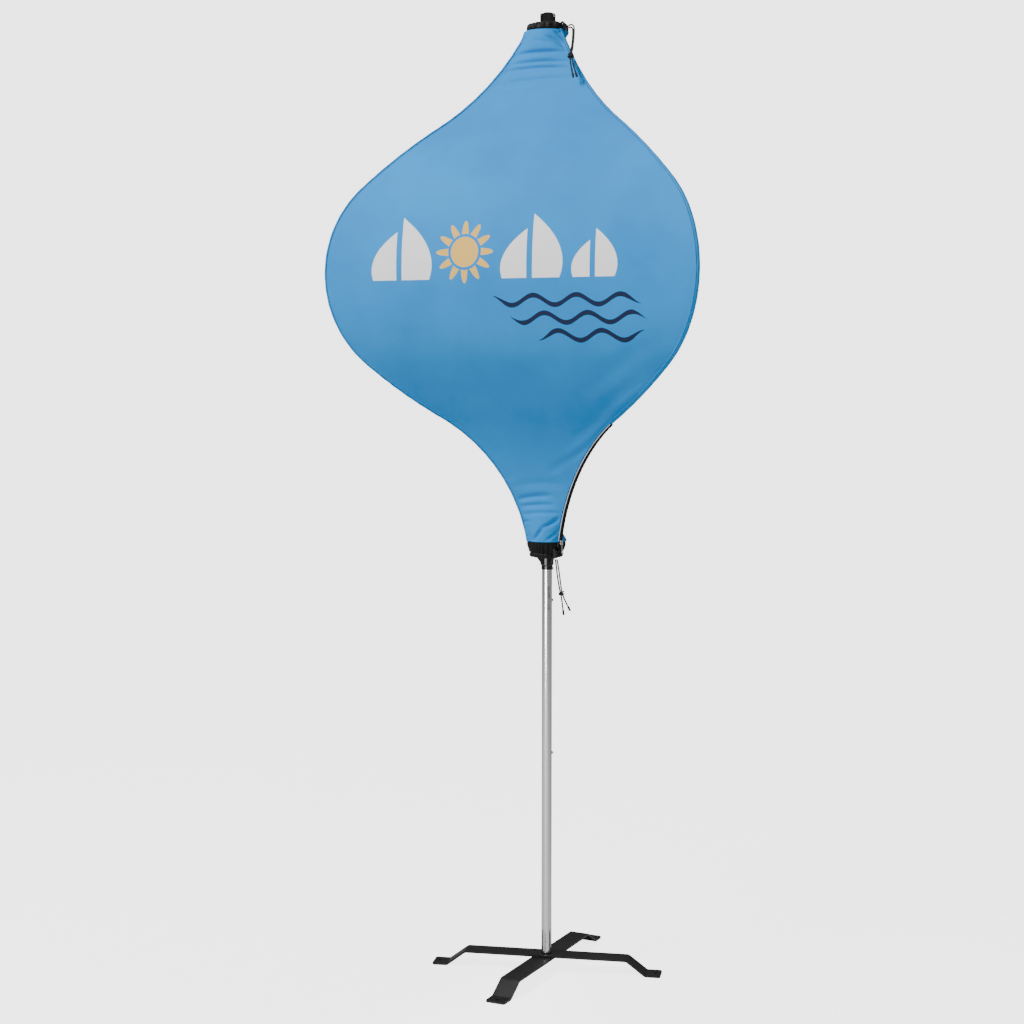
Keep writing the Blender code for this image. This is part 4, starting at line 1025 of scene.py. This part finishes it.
# ---------------------------------------------------------------- cord locks, pin and buttons
def lock_body(name, low, high):
    """A ribbed, hollow barrel that its plunger slides in."""
    low = cord_place(*low)
    axis = (cord_place(*high) - low).normalized()
    profile = [(0.0, 0.0), (0.0036, 0.0), (0.0050, 0.0008), (0.0055, 0.0020)]
    for index in range(5):
        at = 0.0035 + index * 0.0022
        profile += [(0.0055, at), (0.0051, at + 0.0004), (0.0051, at + 0.0010), (0.0055, at + 0.0014)]
    profile += [(0.0055, 0.0162), (0.0051, 0.0170), (0.0043, 0.0170)]
    profile += [(0.0041, 0.0166), (0.0041, 0.0022), (0.0, 0.0021)]
    body = turned(f"{name}_lock_barrel", profile, LOCK_PLASTIC, "mast", aimed(low, axis), 40)
    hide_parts(f"{name}_lock_body")


def small_metal():
    """The top hub's pin and the pole's three snap buttons, each with a domed head."""
    pin_low, pin_high = (Vector(corner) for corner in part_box("top_hub_pin"))
    angle = math.radians(-13.0)
    out = Vector((math.cos(angle), math.sin(angle), 0.0))
    head = Vector((0.0, 0.0, (pin_low.z + pin_high.z) / 2)) + out * 0.0188
    profile = [(0.0, -0.0036), (0.0019, -0.0036), (0.0019, 0.0), (0.0044, 0.0), (0.0047, 0.0004)]
    for index in range(1, 9):
        bend = math.radians(90.0 * index / 8)
        profile.append((0.0047 * math.cos(bend), 0.0004 + 0.0021 * math.sin(bend)))
    profile[-1] = (0.0, 0.0025)
    pin = turned("top_hub_pin_head", profile, STEEL_METAL, "mast", aimed(head, out), 36)
    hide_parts("top_hub_pin")
    for name in ("joint", "stop", "hub"):
        low, high = (Vector(corner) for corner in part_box(f"{name}_button"))
        centre = Vector((0.0, 0.0, (low.z + high.z) / 2))
        profile = [(0.0, 0.0070), (0.0047, 0.0070), (0.0047, 0.0082), (0.0038, 0.0086), (0.0038, 0.0130)]
        for index in range(1, 9):
            bend = math.radians(90.0 * index / 8)
            profile.append((0.0038 * math.cos(bend), 0.0130 + 0.0030 * math.sin(bend)))
        profile[-1] = (0.0, 0.0160)
        place = aimed(centre, CORD_ACROSS)
        button = turned(f"{name}_button_dome", profile, STEEL_METAL, f"{name}_snap", place, 32)
        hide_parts(f"{name}_button")


# ---------------------------------------------------------------- stage
# The brightness of the world and of the floor as the camera sees them, which light nothing.
BACKDROP = 3.4
FLOOR_GLOW = 3.1
# What the world lights the object with: a soft light from SOFTBOX_WAY, and one from above.
SOFTBOX_WAY = (0.55, -0.80, 0.12)
SIDE_LIGHT = 0.10
FRONT_LIGHT = 0.26
TOP_LIGHT = 0.34
# Name, place, what it points at, size and power. The strip is what the upper half of the pole mirrors.
LAMPS = (
    ("key", (-2.2, -2.9, 4.9), (0.0, 0.0, 1.6), (1.4, 1.4), 260.0),
    ("fill", (3.2, -3.0, 2.2), (0.0, 0.0, 1.4), (1.6, 2.4), 20.0),
    ("strip", (-0.25, -5.2, 1.0), (0.0, 0.0, 1.0), (0.5, 2.2), 36.0),
)
# The white wedge of floor in front: how far it turns aside, its half-width and its soft edge.
FLOOR_SIZE = 14.0
FLOOR_DROP = 0.0005
WEDGE_TURN = 0.15
WEDGE_HALF = 0.50
WEDGE_EDGE = 0.20


def area_light(name, place, aim, size, power):
    data = bpy.data.lights.new(name, "AREA")
    data.shape = "RECTANGLE"
    data.size, data.size_y = size
    data.energy = power
    lamp = bpy.data.objects.new(name, data)
    lamp.location = place
    lamp.rotation_euler = (Vector(aim) - Vector(place)).to_track_quat("-Z", "Y").to_euler()
    bpy.context.scene.collection.objects.link(lamp)


def stage():
    """The floor, just under the feet."""
    bm = bmesh.new()
    bmesh.ops.create_grid(bm, x_segments=8, y_segments=8, size=FLOOR_SIZE)
    bm.transform(Matrix.Translation((0.0, 0.0, -FLOOR_DROP)))
    mesh = bpy.data.meshes.new("floor")
    bm.to_mesh(mesh)
    bm.free()
    floor = bpy.data.objects.new("floor", mesh)
    bpy.context.scene.collection.objects.link(floor)
    nodes = Nodes("floor_paint")
    # White only in a wedge in front of the pole, which the pole mirrors, and light grey elsewhere.
    split = nodes.tree.nodes.new("ShaderNodeSeparateXYZ")
    nodes.tree.links.new(nodes.position(), split.inputs[0])
    aside = nodes.math("ABSOLUTE", nodes.math("MULTIPLY_ADD", split.outputs[1], WEDGE_TURN, split.outputs[0]))
    within = nodes.math("SUBTRACT", nodes.math("MULTIPLY", split.outputs[1], -WEDGE_HALF), aside)
    wedge = nodes.math("MULTIPLY_ADD", within, 1.0 / WEDGE_EDGE, 0.5, clamp=True)
    nodes.set(Base_Color=nodes.mix(wedge, (0.62, 0.62, 0.62), (0.92, 0.92, 0.92)), Roughness=0.9)
    seen = nodes.add("ShaderNodeLightPath", output=0)
    nodes.set(Emission_Color=(1.0, 1.0, 1.0), Emission_Strength=nodes.math("MULTIPLY", seen, FLOOR_GLOW))
    paint(floor, nodes.material)


def studio_light():
    """White seen from the camera. What lights the object is bright in front and above, and dim elsewhere."""
    world = bpy.data.worlds.new("studio")
    bpy.context.scene.world = world
    world.use_nodes = True
    tree = world.node_tree
    background = tree.nodes["Background"]
    background.inputs["Color"].default_value = (1.0, 1.0, 1.0, 1.0)

    def node(kind, inputs, output=0, **settings):
        made = tree.nodes.new(kind)
        for key, value in settings.items():
            setattr(made, key, value)
        for key, value in enumerate(inputs):
            if isinstance(value, bpy.types.NodeSocket):
                tree.links.new(value, made.inputs[key])
            else:
                made.inputs[key].default_value = value
        return made.outputs[output]

    way = tree.nodes.new("ShaderNodeTexCoord").outputs["Generated"]
    front = node("ShaderNodeVectorMath", (way, SOFTBOX_WAY), 1, operation="DOT_PRODUCT")
    spread = (front, -0.15, 0.75, SIDE_LIGHT, FRONT_LIGHT)
    front = node("ShaderNodeMapRange", spread, interpolation_type="SMOOTHSTEP")
    above = node("ShaderNodeVectorMath", (way, (0.0, 0.0, 1.0)), 1, operation="DOT_PRODUCT")
    spread = (above, 0.2, 1.0, 0.0, TOP_LIGHT)
    above = node("ShaderNodeMapRange", spread, interpolation_type="SMOOTHSTEP")
    lit = node("ShaderNodeMath", (front, above), operation="ADD")
    seen = tree.nodes.new("ShaderNodeLightPath").outputs["Is Camera Ray"]
    both = node("ShaderNodeMix", (seen, (0.0, 0.0, 0.0), lit, BACKDROP), data_type="FLOAT")
    tree.links.new(both, background.inputs["Strength"])
    for lamp in LAMPS:
        area_light(*lamp)


panels()
for rib_name in RIB_DEG:
    sleeve(rib_name)
collar_bottom()
collar_top()
zip_tape()
zip_teeth()
zip_slider()
lock_body("top", (0.0430, 0.0464, 2.2820), (0.0320, 0.0424, 2.3030))
lock_body("bottom", (0.0205, 0.0535, 1.0290), (0.0140, 0.0540, 1.0560))
small_metal()
stage()
studio_light()
